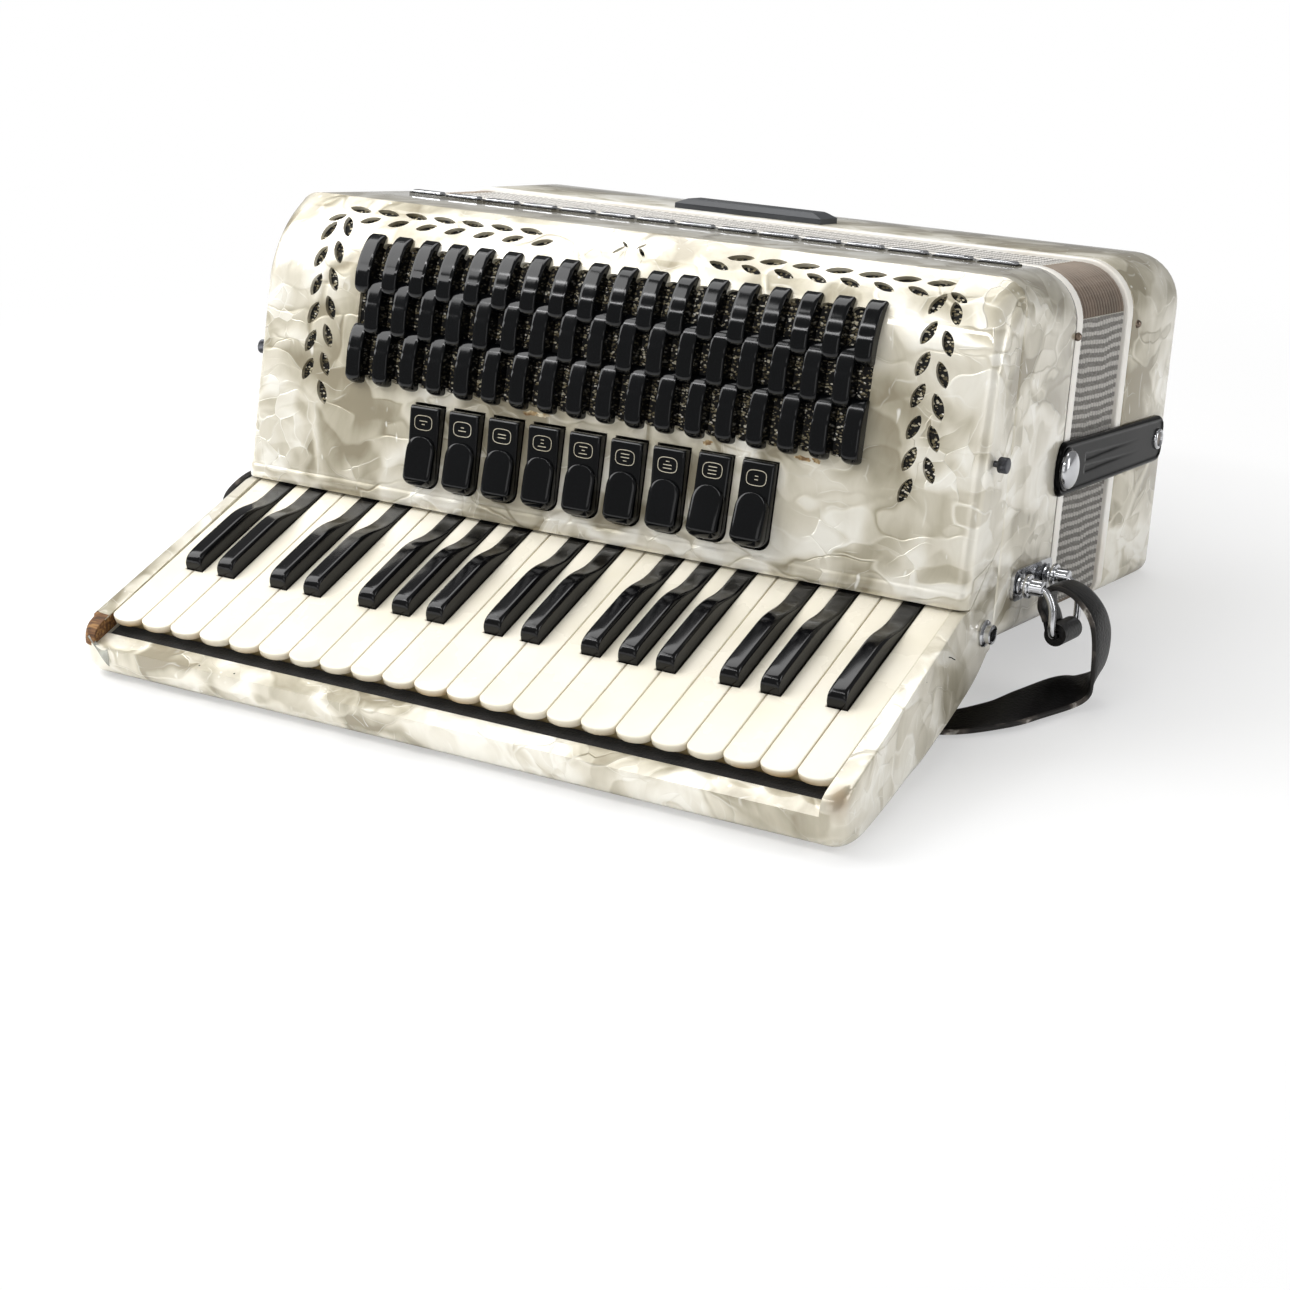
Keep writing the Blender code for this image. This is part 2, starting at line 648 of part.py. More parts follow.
def black_key(index, x):
    stations = [
        (BLACK_FRONT, 0.5 * MM),
        (BLACK_FRONT + 2.2 * MM, 0.68 * BLACK_HEIGHT),
        (BLACK_FRONT + 4.6 * MM, 0.93 * BLACK_HEIGHT),
        (BLACK_FRONT + 12 * MM, BLACK_HEIGHT),
        (KEY_LENGTH - BLACK_TAIL - BLACK_SLOPE, BLACK_HEIGHT),
        (KEY_LENGTH - BLACK_TAIL, BLACK_TAIL_HEIGHT),
        (KEY_LENGTH, BLACK_TAIL_HEIGHT),
    ]
    wide, narrow = BLACK_WIDTH / 2, 0.74 * BLACK_WIDTH / 2
    sections = []
    for along, top in stations:
        shoulder = top - 0.22 * top
        loop = []
        for across, above in (
            (-wide, -KEY_DEPTH + 2 * MM),
            (-wide, shoulder),
            (-narrow, top),
            (narrow, top),
            (wide, shoulder),
            (wide, -KEY_DEPTH + 2 * MM),
        ):
            loop.append((x + across, *key_point(along, above)))
        sections.append(loop)
    key = add_object(f"black_key_{index + 1:02d}", *loft(sections), BLACK, (0.0, AXLE_Y, AXLE_Z))
    return bore(key, x)


# %% [markdown]
# Keyboard bed: floor, front rim and two cheeks in one moulding, with the axle held between the
# cheeks and a socket on the low end.

# %%
def bed_outline():
    """(y, z) outline of the bed from the side, without its well."""
    rim_front = -(RIM_INNER + RIM_WIDTH)
    outline = [key_point(a, b) for a, b in ((rim_front, -20 * MM), (rim_front + 3 * MM, -27 * MM))]
    outline.append(key_point(*FRONT_CONTACT))
    under = ((0.0, -33.2), (0.20, -38.5), (0.43, -44.0), (0.75, -45.4), (0.89, -43.8))
    outline += [key_point(a * KEY_LENGTH, b * MM) for a, b in under]
    back = SEAM_Y - GAP
    side = (back - COVER_SIDE_Y) * math.tan(COVER_SIDE_SLOPE)
    outline += [(back, 31.5 * MM), (back, LIP_BOTTOM + side - GAP * 1.6)]
    outline.append((COVER_SIDE_Y + 0.4 * MM, LIP_BOTTOM - GAP))
    outline.append((COVER_SIDE_Y - 7 * MM, LIP_BOTTOM - GAP - 0.8 * MM))
    outline += [key_point(rim_front + 9 * MM, 0.0), key_point(rim_front + 4 * MM, -2.5 * MM)]
    outline += [key_point(rim_front + 0.8 * MM, -9 * MM)]
    return outline


def keyboard_bed():
    outline = bed_outline()
    middle = np.mean(np.array(outline), axis=0)
    sections = []
    stations = [BED_ROUND * (1 - math.cos(math.pi / 2 * k / 4)) for k in range(5)]
    for side in (-1, 1):
        for inward in stations if side < 0 else stations[::-1]:
            depth = BED_ROUND - math.sqrt(max(BED_ROUND**2 - (BED_ROUND - inward) ** 2, 0.0))
            loop = []
            for y, z in outline:
                along = y * ALONG[0] + z * ALONG[1]
                above = z * ALONG[0] - y * ALONG[1]
                forward = min(max((0.8 * KEY_LENGTH - along) / (0.45 * KEY_LENGTH), 0.0), 1.0)
                ease = forward * forward * (3 - 2 * forward)
                if y < SEAM_Y - 2 * GAP and z < LIP_BOTTOM - 2 * GAP or forward > 0.3:
                    shrink = depth * (1.0 if above < -14 * MM or along < -10 * MM else 0.45)
                    towards = middle - np.array([y, z])
                    towards = towards / np.linalg.norm(towards)
                    y, z = np.array([y, z]) + towards * shrink * min(1.0, ease + 0.4)
                bulge = CHEEK_BULGE * ease
                x = LEFT + inward - bulge if side < 0 else RIGHT - inward + bulge
                loop.append((x, y, z))
            sections.append(loop)
    bed = add_object("keyboard_bed", *loft(sections), PEARL)
    inner = -RIM_INNER
    well = [key_point(inner, 40 * MM), key_point(inner, -FELT_DEPTH), key_point(FELT_BACK, -FELT_DEPTH)]
    deep = key_point(KEY_LENGTH - AXLE_FROM_TAIL, -WELL_DEPTH)
    back = SEAM_Y - BED_WALL
    well += [key_point(FELT_BACK, -WELL_DEPTH), deep, (back, deep[1]), (back, KEY_LENGTH)]
    rim = [key_point(inner - 40 * MM, 40 * MM), key_point(inner - 40 * MM, -RIM_DEPTH)]
    rim += [key_point(inner + 1 * MM, -RIM_DEPTH), key_point(inner + 1 * MM, 40 * MM)]
    low, high = -GAP, KEYBOARD + GAP
    cutters = [helper(*prism_x(well, low, high)), helper(*prism_x(rim, low, high))]
    combine(bed, cutters, "DIFFERENCE")
    axle = rod(((low - 3 * MM, AXLE_Y, AXLE_Z), (high + 3 * MM, AXLE_Y, AXLE_Z)), AXLE_RADIUS, 8)
    socket_y = SEAM_Y - SOCKET_DEPTH
    ends = ((RIGHT - 3 * MM, socket_y, SOCKET_Z), (RIGHT + 7 * MM, socket_y, SOCKET_Z))
    socket = rod(ends, SOCKET_RADIUS, 12)
    return combine(bed, [helper(*axle), helper(*socket)], "UNION")


# %% [markdown]
# Strap brackets: two collared posts and a drop bail between them.

# %%
def bracket_pieces(x, way, root):
    """Helper solids of a bracket on an end face, standing out in direction way."""
    pieces = []
    reach = x + way * (POST_LENGTH + 3 * MM)
    for y in BRACKET_Y:
        post = ((x - way * root, y, BRACKET_Z), (reach, y, BRACKET_Z))
        pieces.append(rod(post, POST_RADIUS, 10))
        collar = ((x + way * 5 * MM, y, BRACKET_Z), (x + way * (5 * MM + COLLAR_THICK), y, BRACKET_Z))
        pieces.append(rod(collar, COLLAR_RADIUS, 10))
    hang = x + way * POST_LENGTH
    drop = BRACKET_Z - BAIL_DROP
    route = [
        (hang, BRACKET_Y[0], BRACKET_Z),
        (hang + way * 7 * MM, BRACKET_Y[0], BRACKET_Z - 5 * MM),
        (hang + way * 9 * MM, BRACKET_Y[0], drop + 4 * MM),
        (hang + way * 9 * MM, BRACKET_Y[0] + 4 * MM, drop),
        (hang + way * 9 * MM, BRACKET_Y[1] - 4 * MM, drop),
        (hang + way * 9 * MM, BRACKET_Y[1], drop + 4 * MM),
        (hang + way * 7 * MM, BRACKET_Y[1], BRACKET_Z - 5 * MM),
        (hang, BRACKET_Y[1], BRACKET_Z),
    ]
    pieces.append(tube(route, BAIL_RADIUS, 6))
    return pieces


def tube(route, radius, sides):
    """A bent round rod through these points."""
    points = [Vector(p) for p in route]
    rings = []
    normal = Vector((0, 0, 1))
    for k, point in enumerate(points):
        before = points[max(k - 1, 0)]
        after = points[min(k + 1, len(points) - 1)]
        along = (after - before).normalized()
        side = along.cross(normal)
        if side.length < 0.2:
            side = along.cross(Vector((1, 0, 0)))
        side.normalize()
        up = side.cross(along).normalized()
        angles = [2 * math.pi * j / sides for j in range(sides)]
        rings.append([point + side * radius * math.cos(a) + up * radius * math.sin(a) for a in angles])
        normal = up
    return loft(rings)


def bracket_low():
    post = bracket_pieces(RIGHT + GAP, 1, 0.0)
    bracket = add_object("strap_bracket_low", *post[0], CHROME)
    plate_outline = [
        (BRACKET_Y[0] - 8 * MM, BRACKET_Z - 8 * MM),
        (BRACKET_Y[1] + 8 * MM, BRACKET_Z - 8 * MM),
        (BRACKET_Y[1] + 8 * MM, BRACKET_Z + 8 * MM),
        (BRACKET_Y[0] - 8 * MM, BRACKET_Z + 8 * MM),
    ]
    plate = prism_x(plate_outline, RIGHT + GAP, RIGHT + GAP + 1.6 * MM)
    return combine(bracket, [helper(*p) for p in post[1:] + [plate]], "UNION")


# %% [markdown]
# Treble body, bellows frames and bass body: boxes with the same rounded outline, so that they
# close up edge to edge.

# %%
def closed_box(name, start, end, edge, look, front_round=None):
    sections = [
        box_section(start, edge, front_round),
        box_section(start + edge, 0.0, front_round),
        box_section(end - edge, 0.0),
        box_section(end, edge),
    ]
    return add_object(name, *loft(sections), look)


def treble_body():
    body = closed_box("treble_body", SEAM_Y, TREBLE_BACK_Y, 1.2 * MM, PEARL, COVER_ROUND)
    posts = [helper(*p) for p in bracket_pieces(LEFT, -1, 3 * MM)]
    return combine(body, posts, "UNION")


def bellows():
    """Folds between the frames: the outline steps out and in once for each fold."""
    sections = []
    pitch = BELLOWS_CLOSED / FOLD_COUNT
    for k in range(FOLD_COUNT):
        y = BELLOWS_Y + pitch * k
        sections.append(box_section(y, BELLOWS_INSET + FOLD_DEPTH, TREBLE_ROUND))
        sections.append(box_section(y + pitch / 2, BELLOWS_INSET, TREBLE_ROUND))
    sections.append(box_section(BELLOWS_Y + BELLOWS_CLOSED, BELLOWS_INSET + FOLD_DEPTH, TREBLE_ROUND))
    return add_object("bellows", *loft(sections), CLOTH)


def bass_body():
    edge = BASS_ROUND
    sections = [box_section(BASS_Y, 1.2 * MM), box_section(BASS_Y + 1.2 * MM, 0.0)]
    for k in range(5):
        angle = math.pi / 2 * k / 4
        inset = edge * (1 - math.cos(angle))
        sections.append(box_section(BASS_END_Y - edge * (1 - math.sin(angle)), inset))
    body = add_object("bass_body", *loft(sections), PEARL)
    recess = [
        (RECESS_Y, BODY_BACK - 20 * MM),
        (BASS_END_Y + 20 * MM, BODY_BACK - 20 * MM),
        (BASS_END_Y + 20 * MM, RECESS_TOP),
        (RECESS_Y + 6 * MM, RECESS_TOP),
        (RECESS_Y, RECESS_TOP - 6 * MM),
    ]
    cutter = helper(*prism_x(recess, LEFT + RECESS_END, RIGHT - RECESS_END))
    combine(body, [cutter], "DIFFERENCE")
    near = BASS_Y + VENT_NEAR_Y
    rows = []
    for height, inset in ((-2 * MM, 0.0), (VENT_RISE * 0.5, 0.0), (VENT_RISE, 3.0 * MM)):
        half = VENT_LENGTH / 2 - inset * 2.2
        left, right = VENT_CENTRE_X - half, VENT_CENTRE_X + half
        far = near + VENT_WIDTH - inset
        z = BODY_TOP + height
        rows.append([(left, near + inset, z), (right, near + inset, z), (right, far, z), (left, far, z)])
    return combine(body, [helper(*loft(rows))], "UNION")


# %% [markdown]
# Bass buttons on their board at the bottom of the recess, and the hand strap over them.

# %%
def bass_button_board():
    low_x, high_x = LEFT + RECESS_END + 8 * MM, RIGHT - RECESS_END - 8 * MM
    low_z = BODY_BACK + 4 * MM
    high_z = RECESS_TOP - 10 * MM
    y = RECESS_Y + GAP
    outline = [(y, low_z), (y + BOARD_THICK, low_z), (y + BOARD_THICK, high_z), (y, high_z)]
    board = add_object("bass_button_board", *prism_x(outline, low_x, high_x), BUTTON)
    buttons = []
    mid_z = (low_z + high_z) / 2
    for row in range(BUTTON_ROWS):
        z = mid_z + BUTTON_ROW_PITCH * (row - (BUTTON_ROWS - 1) / 2)
        for column in range(BUTTON_COLUMNS):
            lean = (row - (BUTTON_ROWS - 1) / 2) * BUTTON_PITCH / 4
            x = MID_X + BUTTON_PITCH * (column - (BUTTON_COLUMNS - 1) / 2) + lean
            start = (x, y + BOARD_THICK - 1 * MM, z)
            end = (x, y + BOARD_THICK + BUTTON_HEIGHT, z)
            buttons.append(helper(*rod((start, end), BUTTON_RADIUS, 5)))
    return combine(board, buttons, "UNION")


def bass_strap():
    """A flat leather band along the recess, bowed a little away from the buttons."""
    start, end = LEFT + RECESS_END + GAP, RIGHT - RECESS_END - GAP
    middle_z = BODY_BACK + 14 * MM + HAND_STRAP_WIDTH / 2
    sections = []
    steps = 12
    for k in range(steps + 1):
        part = k / steps
        x = start + (end - start) * part
        y = BASS_END_Y - HAND_STRAP_SET - HAND_STRAP_THICK + HAND_STRAP_BOW * math.sin(math.pi * part)
        half = HAND_STRAP_WIDTH / 2
        loop = []
        for across, out in ((-1, 0), (-1, 1), (1, 1), (1, 0)):
            loop.append((x, y + HAND_STRAP_THICK * out, middle_z + half * across))
        sections.append(loop)
    return add_object("bass_strap", *loft(sections), LEATHER)


# %% [markdown]
# Bellows straps: a leather tongue with a snap cap at the treble end and a rivet that it turns on.

# %%
def bellows_strap(name, x, way):
    outline = []
    half = CLASP_WIDTH / 2
    for centre, start in ((CLASP_RIVET_Y, -0.5), (CLASP_CAP_Y, 0.5)):
        for k in range(7):
            angle = math.pi * (start + k / 6)
            reach = CLASP_END if centre == CLASP_RIVET_Y else CLASP_END + 2 * MM
            outline.append((centre + reach * math.cos(angle), CLASP_Z + half * math.sin(angle)))
    near, far = x + way * GAP, x + way * (GAP + CLASP_THICK)
    strap = add_object(name, *prism_x(outline, near, far), LEATHER, (x, CLASP_RIVET_Y, CLASP_Z))
    domes = []
    for y, radius, height in (
        (CLASP_CAP_Y + 1 * MM, CAP_RADIUS, CAP_HEIGHT),
        (CLASP_RIVET_Y, RIVET_RADIUS, RIVET_HEIGHT),
    ):
        rings = []
        for part, rise in ((1.0, -0.3), (1.0, 0.35), (0.72, 0.85), (0.3, 1.0)):
            angles = [2 * math.pi * k / 12 for k in range(12)]
            place = far + way * height * rise
            ring = [
                (place, y + radius * part * math.cos(a), CLASP_Z + radius * part * math.sin(a))
                for a in angles
            ]
            rings.append(ring)
        domes.append(helper(*loft(rings)))
    return combine(strap, domes, "UNION")


# %% [markdown]
# Resting angle: the keyboard's front edge and the back corner of the bass section both touch
# the table.

# %%
def resting_angle():
    front = key_point(*FRONT_CONTACT)
    back = (BASS_END_Y - BASS_ROUND, BODY_BACK)
    return math.atan2(back[1] - front[1], back[0] - front[0])


REST_ANGLE = resting_angle()


def to_table(point):
    """World coordinates of a point of the instrument before the last shift to the origin."""
    x, y, z = point
    c, s = math.cos(-REST_ANGLE), math.sin(-REST_ANGLE)
    return Vector((x, c * y - s * z, s * y + c * z))


TABLE_Z = to_table((0.0, *key_point(*FRONT_CONTACT))).z


# %% [markdown]
# Shoulder strap: looped round the low bail, laid out on the table under the instrument and
# back up to the bracket at the high end. Its points are chosen by hand, as a strap would fall.

# %%
def strap_frames():
    """Centre points of the strap's run and the direction of its width at each."""
    bail_x = RIGHT + GAP + POST_LENGTH + 9 * MM
    bail_y = (BRACKET_Y[0] + BRACKET_Y[1]) / 2
    low = to_table((bail_x, bail_y, BRACKET_Z - BAIL_DROP))
    high = to_table((LEFT - POST_LENGTH - 9 * MM, bail_y, BRACKET_Z - BAIL_DROP))
    span = low.x - high.x
    floor = TABLE_Z + GAP + STRAP_THICK / 2
    across = to_table((0.0, 1.0, 0.0))
    run = []
    arch = ((-4.6, 0), (-7, 7), (-10, 13), (-9, 20), (-2, 24), (8, 21), (17, 12), (21, 0))
    for aside, rise in arch:
        run.append((low + to_table((aside * MM, 0, rise * MM)), across))
    run += [
        (Vector((low.x + 20 * MM, low.y - 1 * MM, floor + 16 * MM)), Vector((-0.1, 1, 0))),
        (Vector((low.x + 14 * MM, low.y - 5 * MM, floor + 8 * MM)), Vector((-0.3, 1, 0.2))),
        (Vector((low.x + 5 * MM, low.y - 15 * MM, floor + 5 * MM)), Vector((-0.8, 0.5, 0.3))),
        (Vector((low.x - 4 * MM, low.y - 32 * MM, floor + 4 * MM)), Vector((-1, 0.35, 0.25))),
        (Vector((low.x - 14 * MM, low.y - 50 * MM, floor + 3 * MM)), Vector((-0.8, 0.7, 0.15))),
        (Vector((low.x - 36 * MM, low.y - 68 * MM, floor + 1 * MM)), Vector((-0.45, 0.9, 0.05))),
        (Vector((low.x - 70 * MM, low.y - 74 * MM, floor)), Vector((-0.1, 1, 0))),
        (Vector((low.x - 0.25 * span, low.y - 52 * MM, floor)), Vector((0.4, 1, 0))),
        (Vector((low.x - 0.38 * span, low.y - 12 * MM, floor)), Vector((0.4, 1, 0))),
        (Vector((low.x - 0.54 * span, low.y + 12 * MM, floor)), Vector((0.1, 1, 0))),
        (Vector((low.x - 0.83 * span, low.y + 20 * MM, floor)), Vector((0, 1, 0))),
        (Vector((high.x - 14 * MM, low.y + 14 * MM, floor)), Vector((0, 1, 0))),
        (Vector((high.x - 36 * MM, low.y + 2 * MM, floor + 4 * MM)), Vector((0, 1, 0))),
        (Vector((high.x - 45 * MM, low.y - 10 * MM, floor + 15 * MM)), Vector((0, 1, 0))),
        (Vector((high.x - 42 * MM, low.y - 11 * MM, floor + 28 * MM)), across),
        (high + to_table((-24 * MM, -5 * MM, 8 * MM)), across),
        (high + to_table((-4.6 * MM, 0, 0)), across),
    ]
    return run, low, high


def shoulder_strap():
    run, low, high = strap_frames()
    sections = []
    for k, (point, across) in enumerate(run):
        before = run[max(k - 1, 0)][0]
        after = run[min(k + 1, len(run) - 1)][0]
        along = (after - before).normalized()
        across = (across - along * across.dot(along)).normalized()
        out = along.cross(across).normalized()
        loop = []
        for a, b in ((-1, -1), (1, -1), (1, 1), (-1, 1)):
            loop.append(point + across * STRAP_WIDTH / 2 * a + out * STRAP_THICK / 2 * b)
        sections.append(loop)
    strap = add_object("shoulder_strap", *loft(sections), LEATHER)
    rings = []
    for centre, way in ((low, 1), (high, -1)):
        outer, inner = BAIL_RADIUS + GAP + STRAP_THICK, BAIL_RADIUS + GAP
        half = to_table((0.0, STRAP_WIDTH / 2, 0.0))
        rings.append((centre - half, centre + half, outer, inner))
    for start, end, outer, inner in rings:
        combine(strap, [helper(*rod((start, end), outer, 12))], "UNION")
        reach = to_table((0.0, 5 * MM, 0.0))
        combine(strap, [helper(*rod((start - reach, end + reach), inner, 10))], "DIFFERENCE")
    return strap


# %% [markdown]
# The whole instrument, stood on the table with the middle of its box over the origin.

# %%
def main():
    made = [treble_body(), keyboard_bed(), grille_cover(), grille_louvres()]
    made += [register_tab(k) for k in range(TAB_COUNT)]
    made += [white_key(k) for k in range(WHITE_COUNT)]
    blacks = [black_x(k) for k in range(WHITE_COUNT) if black_x(k) is not None]
    made += [black_key(k, x) for k, x in enumerate(blacks)]
    for name, start in (("treble_bellows_frame", TREBLE_FRAME_Y), ("bass_bellows_frame", BASS_FRAME_Y)):
        made.append(closed_box(name, start, start + FRAME_THICK, 0.8 * MM, PEARL))
    made.append(bellows())
    made += [bass_body(), bass_button_board(), bass_strap(), bracket_low()]
    made.append(bellows_strap("bellows_strap_low", RIGHT, 1))
    made.append(bellows_strap("bellows_strap_high", LEFT, -1))

    rest = bpy.data.objects.new("resting_pose", None)
    bpy.context.scene.collection.objects.link(rest)
    rest.rotation_euler.x = -REST_ANGLE
    for obj in made:
        obj.parent = rest
    table = bpy.data.objects.new("table", None)
    bpy.context.scene.collection.objects.link(table)
    rest.parent = table
    strap = shoulder_strap()
    strap.parent = table
    made.append(strap)

    bpy.context.view_layer.update()
    corners = np.array([obj.matrix_world @ v.co for obj in made for v in obj.data.vertices])
    low, high = corners.min(axis=0), corners.max(axis=0)
    table.location = (-(low[0] + high[0]) / 2, -(low[1] + high[1]) / 2, -low[2])
    bpy.context.view_layer.update()
    axle = rest.matrix_world @ Vector((0, AXLE_Y, AXLE_Z))
    print("key axle", [round(v, 5) for v in axle], "rest angle", round(math.degrees(REST_ANGLE), 3))


main()
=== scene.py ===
# %% [markdown]
# A piano accordion in three steps of looking: first the frame that the CAD gives, then the camera
# and the light, and then piece after piece. Every form here is worked out in the instrument's own
# axes, in millimetres: x runs along the keyboard, y along the bellows towards the bass side, and
# z towards the listener. One function then tips it into the pose in which it lies on the table.

# %% Frame
import json
import math

import bmesh
import bpy
import numpy as np
from mathutils import Matrix, Vector

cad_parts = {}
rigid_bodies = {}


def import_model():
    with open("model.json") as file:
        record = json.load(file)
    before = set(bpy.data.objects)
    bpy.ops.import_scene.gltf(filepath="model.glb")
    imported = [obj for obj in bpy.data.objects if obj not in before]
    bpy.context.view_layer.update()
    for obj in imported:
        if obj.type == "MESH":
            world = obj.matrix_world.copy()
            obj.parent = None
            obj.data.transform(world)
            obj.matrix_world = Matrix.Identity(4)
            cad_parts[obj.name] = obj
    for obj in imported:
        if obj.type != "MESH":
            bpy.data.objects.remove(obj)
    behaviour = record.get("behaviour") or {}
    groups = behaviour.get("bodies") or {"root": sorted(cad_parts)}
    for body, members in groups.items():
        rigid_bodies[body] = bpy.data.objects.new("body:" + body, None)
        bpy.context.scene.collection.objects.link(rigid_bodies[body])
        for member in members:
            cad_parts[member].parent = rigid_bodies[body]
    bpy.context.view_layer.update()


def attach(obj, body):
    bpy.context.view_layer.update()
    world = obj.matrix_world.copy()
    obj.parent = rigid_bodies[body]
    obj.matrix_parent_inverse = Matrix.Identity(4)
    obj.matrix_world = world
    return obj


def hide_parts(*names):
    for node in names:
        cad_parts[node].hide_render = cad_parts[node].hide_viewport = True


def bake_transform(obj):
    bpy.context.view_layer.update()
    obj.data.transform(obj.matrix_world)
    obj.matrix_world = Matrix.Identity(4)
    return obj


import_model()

# %% [markdown]
# The resting pose is a turn about the keyboard's direction and a shift. The numbers are those of
# the CAD model, so that a piece worked out here lands on the solid it belongs to.

# %% From the instrument's axes to the table
REST = math.radians(9.6614)
SHIFT = np.array([-0.201228, -0.206604, 0.033021])
TURN = np.array([
    [1.0, 0.0, 0.0],
    [0.0, math.cos(REST), math.sin(REST)],
    [0.0, -math.sin(REST), math.cos(REST)],
])


def to_table(points):
    """World points in metres from body points in millimetres: turn about x, then shift."""
    return np.asarray(points, float) / 1000.0 @ TURN.T + SHIFT


def hex_linear(code):
    """Linear red, green, blue and alpha from a hex colour: the sRGB curve undone for each part."""
    parts = np.array([int(code[k:k + 2], 16) for k in (1, 3, 5)]) / 255.0
    low = parts / 12.92
    high = ((parts + 0.055) / 1.055) ** 2.4
    return tuple(np.where(parts <= 0.04045, low, high)) + (1.0,)


# %% [markdown]
# The camera stands where the photograph was taken from. Its place and turn were worked out from
# points that can be named on the photograph, such as key tips and corners of the bellows
# frames. The focal length and the width of the photograph are in pixels.

# %% Camera
EYE = np.array([889.21, -1032.24, 338.23])
YAW, PITCH, ROLL = (math.radians(a) for a in (-28.75, -14.12, 4.26))
FOCAL, PHOTO_WIDTH = 2582.5, 1290


def camera_axes():
    """Right, up and forward in the instrument's axes: yaw about z, then pitch, then roll."""
    forward = np.array([
        math.sin(YAW) * math.cos(PITCH), math.cos(YAW) * math.cos(PITCH), math.sin(PITCH)
    ])
    level = np.array([math.cos(YAW), -math.sin(YAW), 0.0])
    up = np.cross(level, forward)
    right = math.cos(ROLL) * level + math.sin(ROLL) * up
    return right, -math.sin(ROLL) * level + math.cos(ROLL) * up, forward


right, up, forward = (TURN @ axis for axis in camera_axes())
camera_data = bpy.data.cameras.new("camera")
camera_data.sensor_width = 36.0
camera_data.lens = FOCAL / PHOTO_WIDTH * 36.0
camera_data.clip_start = 0.05
camera_data.clip_end = 30.0
camera = bpy.data.objects.new("camera", camera_data)
bpy.context.scene.collection.objects.link(camera)
camera.matrix_world = Matrix([
    [right[k], up[k], -forward[k], to_table(EYE)[k]] for k in range(3)
] + [[0, 0, 0, 1]])
bpy.context.scene.camera = camera
bpy.context.scene.view_settings.view_transform = "Standard"
print("camera: lens", round(camera_data.lens, 2), "mm")

# %% [markdown]
# Small tools. A form is a pair of arrays, points and faces. Quads of a grid are made for the
# whole grid at once, and several forms can be put together into one piece.

# %% Tools for forms
def grid_quads(rows, columns, wrap=False):
    """Quads of a grid of rows by columns points; wrap joins the last column to the first."""
    row = np.arange(rows - 1)[:, None] * columns
    column = np.arange(columns if wrap else columns - 1)[None, :]
    after = (column + 1) % columns
    corners = [row + column, row + after, row + columns + after, row + columns + column]
    return np.stack(corners, axis=-1).reshape(-1, 4)


def loft(sections, caps=True):
    """A closed skin through sections, an array of sections by points by 3."""
    sections = np.asarray(sections, float)
    rows, columns = sections.shape[:2]
    faces = [tuple(face) for face in grid_quads(rows, columns, True)]
    if caps:
        faces.append(tuple(range(columns))[::-1])
        faces.append(tuple(range((rows - 1) * columns, rows * columns)))
    return sections.reshape(-1, 3), faces


def together(forms):
    """One form from several: the point numbers of each are moved past those before it."""
    points, faces, first = [], [], 0
    for some_points, some_faces in forms:
        points.append(some_points)
        faces += [tuple(int(k) + first for k in face) for face in some_faces]
        first += len(some_points)
    return np.concatenate(points), faces


def tube(path, radius, sides=12, caps=True):
    """A round tube: each section is the centre plus radius times cos and sin of two side axes."""
    path = np.asarray(path, float)
    along = np.gradient(path, axis=0)
    along /= np.linalg.norm(along, axis=1)[:, None]
    first = np.eye(3)[np.argmin(np.abs(along[0]))]
    sides_of = []
    for step in along:
        first = first - step * (first @ step)
        first = first / np.linalg.norm(first)
        sides_of.append(first)
    one = np.array(sides_of)
    two = np.cross(along, one)
    angle = np.linspace(0, 2 * np.pi, sides, endpoint=False)
    radius = np.broadcast_to(np.asarray(radius, float), len(path))[:, None, None]
    ring = one[:, None] * np.cos(angle)[:, None] + two[:, None] * np.sin(angle)[:, None]
    return loft(path[:, None] + radius * ring, caps)


def turned(profile, centre, axis, sides=24):
    """A turned form: each pair of distance along the axis and radius becomes a ring."""
    profile = np.asarray(profile, float)
    axis = np.asarray(axis, float)
    one = np.cross(axis, np.eye(3)[np.argmin(np.abs(axis))])
    one /= np.linalg.norm(one)
    two = np.cross(axis, one)
    angle = np.linspace(0, 2 * np.pi, sides, endpoint=False)
    ring = one * np.cos(angle)[:, None] + two * np.sin(angle)[:, None]
    sections = np.asarray(centre) + profile[:, :1, None] * axis + profile[:, 1:, None] * ring
    return loft(sections)


def smooth_path(points, count):
    """A smooth line through points: a cubic through each four neighbours, by equal steps."""
    points = np.asarray(points, float)
    padded = np.vstack([2 * points[0] - points[1], points, 2 * points[-1] - points[-2]])
    place = np.linspace(0, len(points) - 1 - 1e-9, count)
    k = place.astype(int)
    t = (place - k)[:, None]
    a, b, c, d = padded[k], padded[k + 1], padded[k + 2], padded[k + 3]
    return b + 0.5 * t * (c - a + t * (2 * a - 5 * b + 4 * c - d + t * (3 * (b - c) + d - a)))


def inset(outline, distance):
    """A closed outline moved inwards: each point goes along the sum of its two edge normals."""
    before = outline - np.roll(outline, 1, axis=0)
    after = np.roll(outline, -1, axis=0) - outline
    normals = [np.stack([-e[:, 1], e[:, 0]], axis=1) / np.linalg.norm(e, axis=1)[:, None]
               for e in (before, after)]
    total = normals[0] + normals[1]
    share = np.maximum((total * total).sum(axis=1), 0.6)[:, None]
    return outline + 2 * distance * total / share


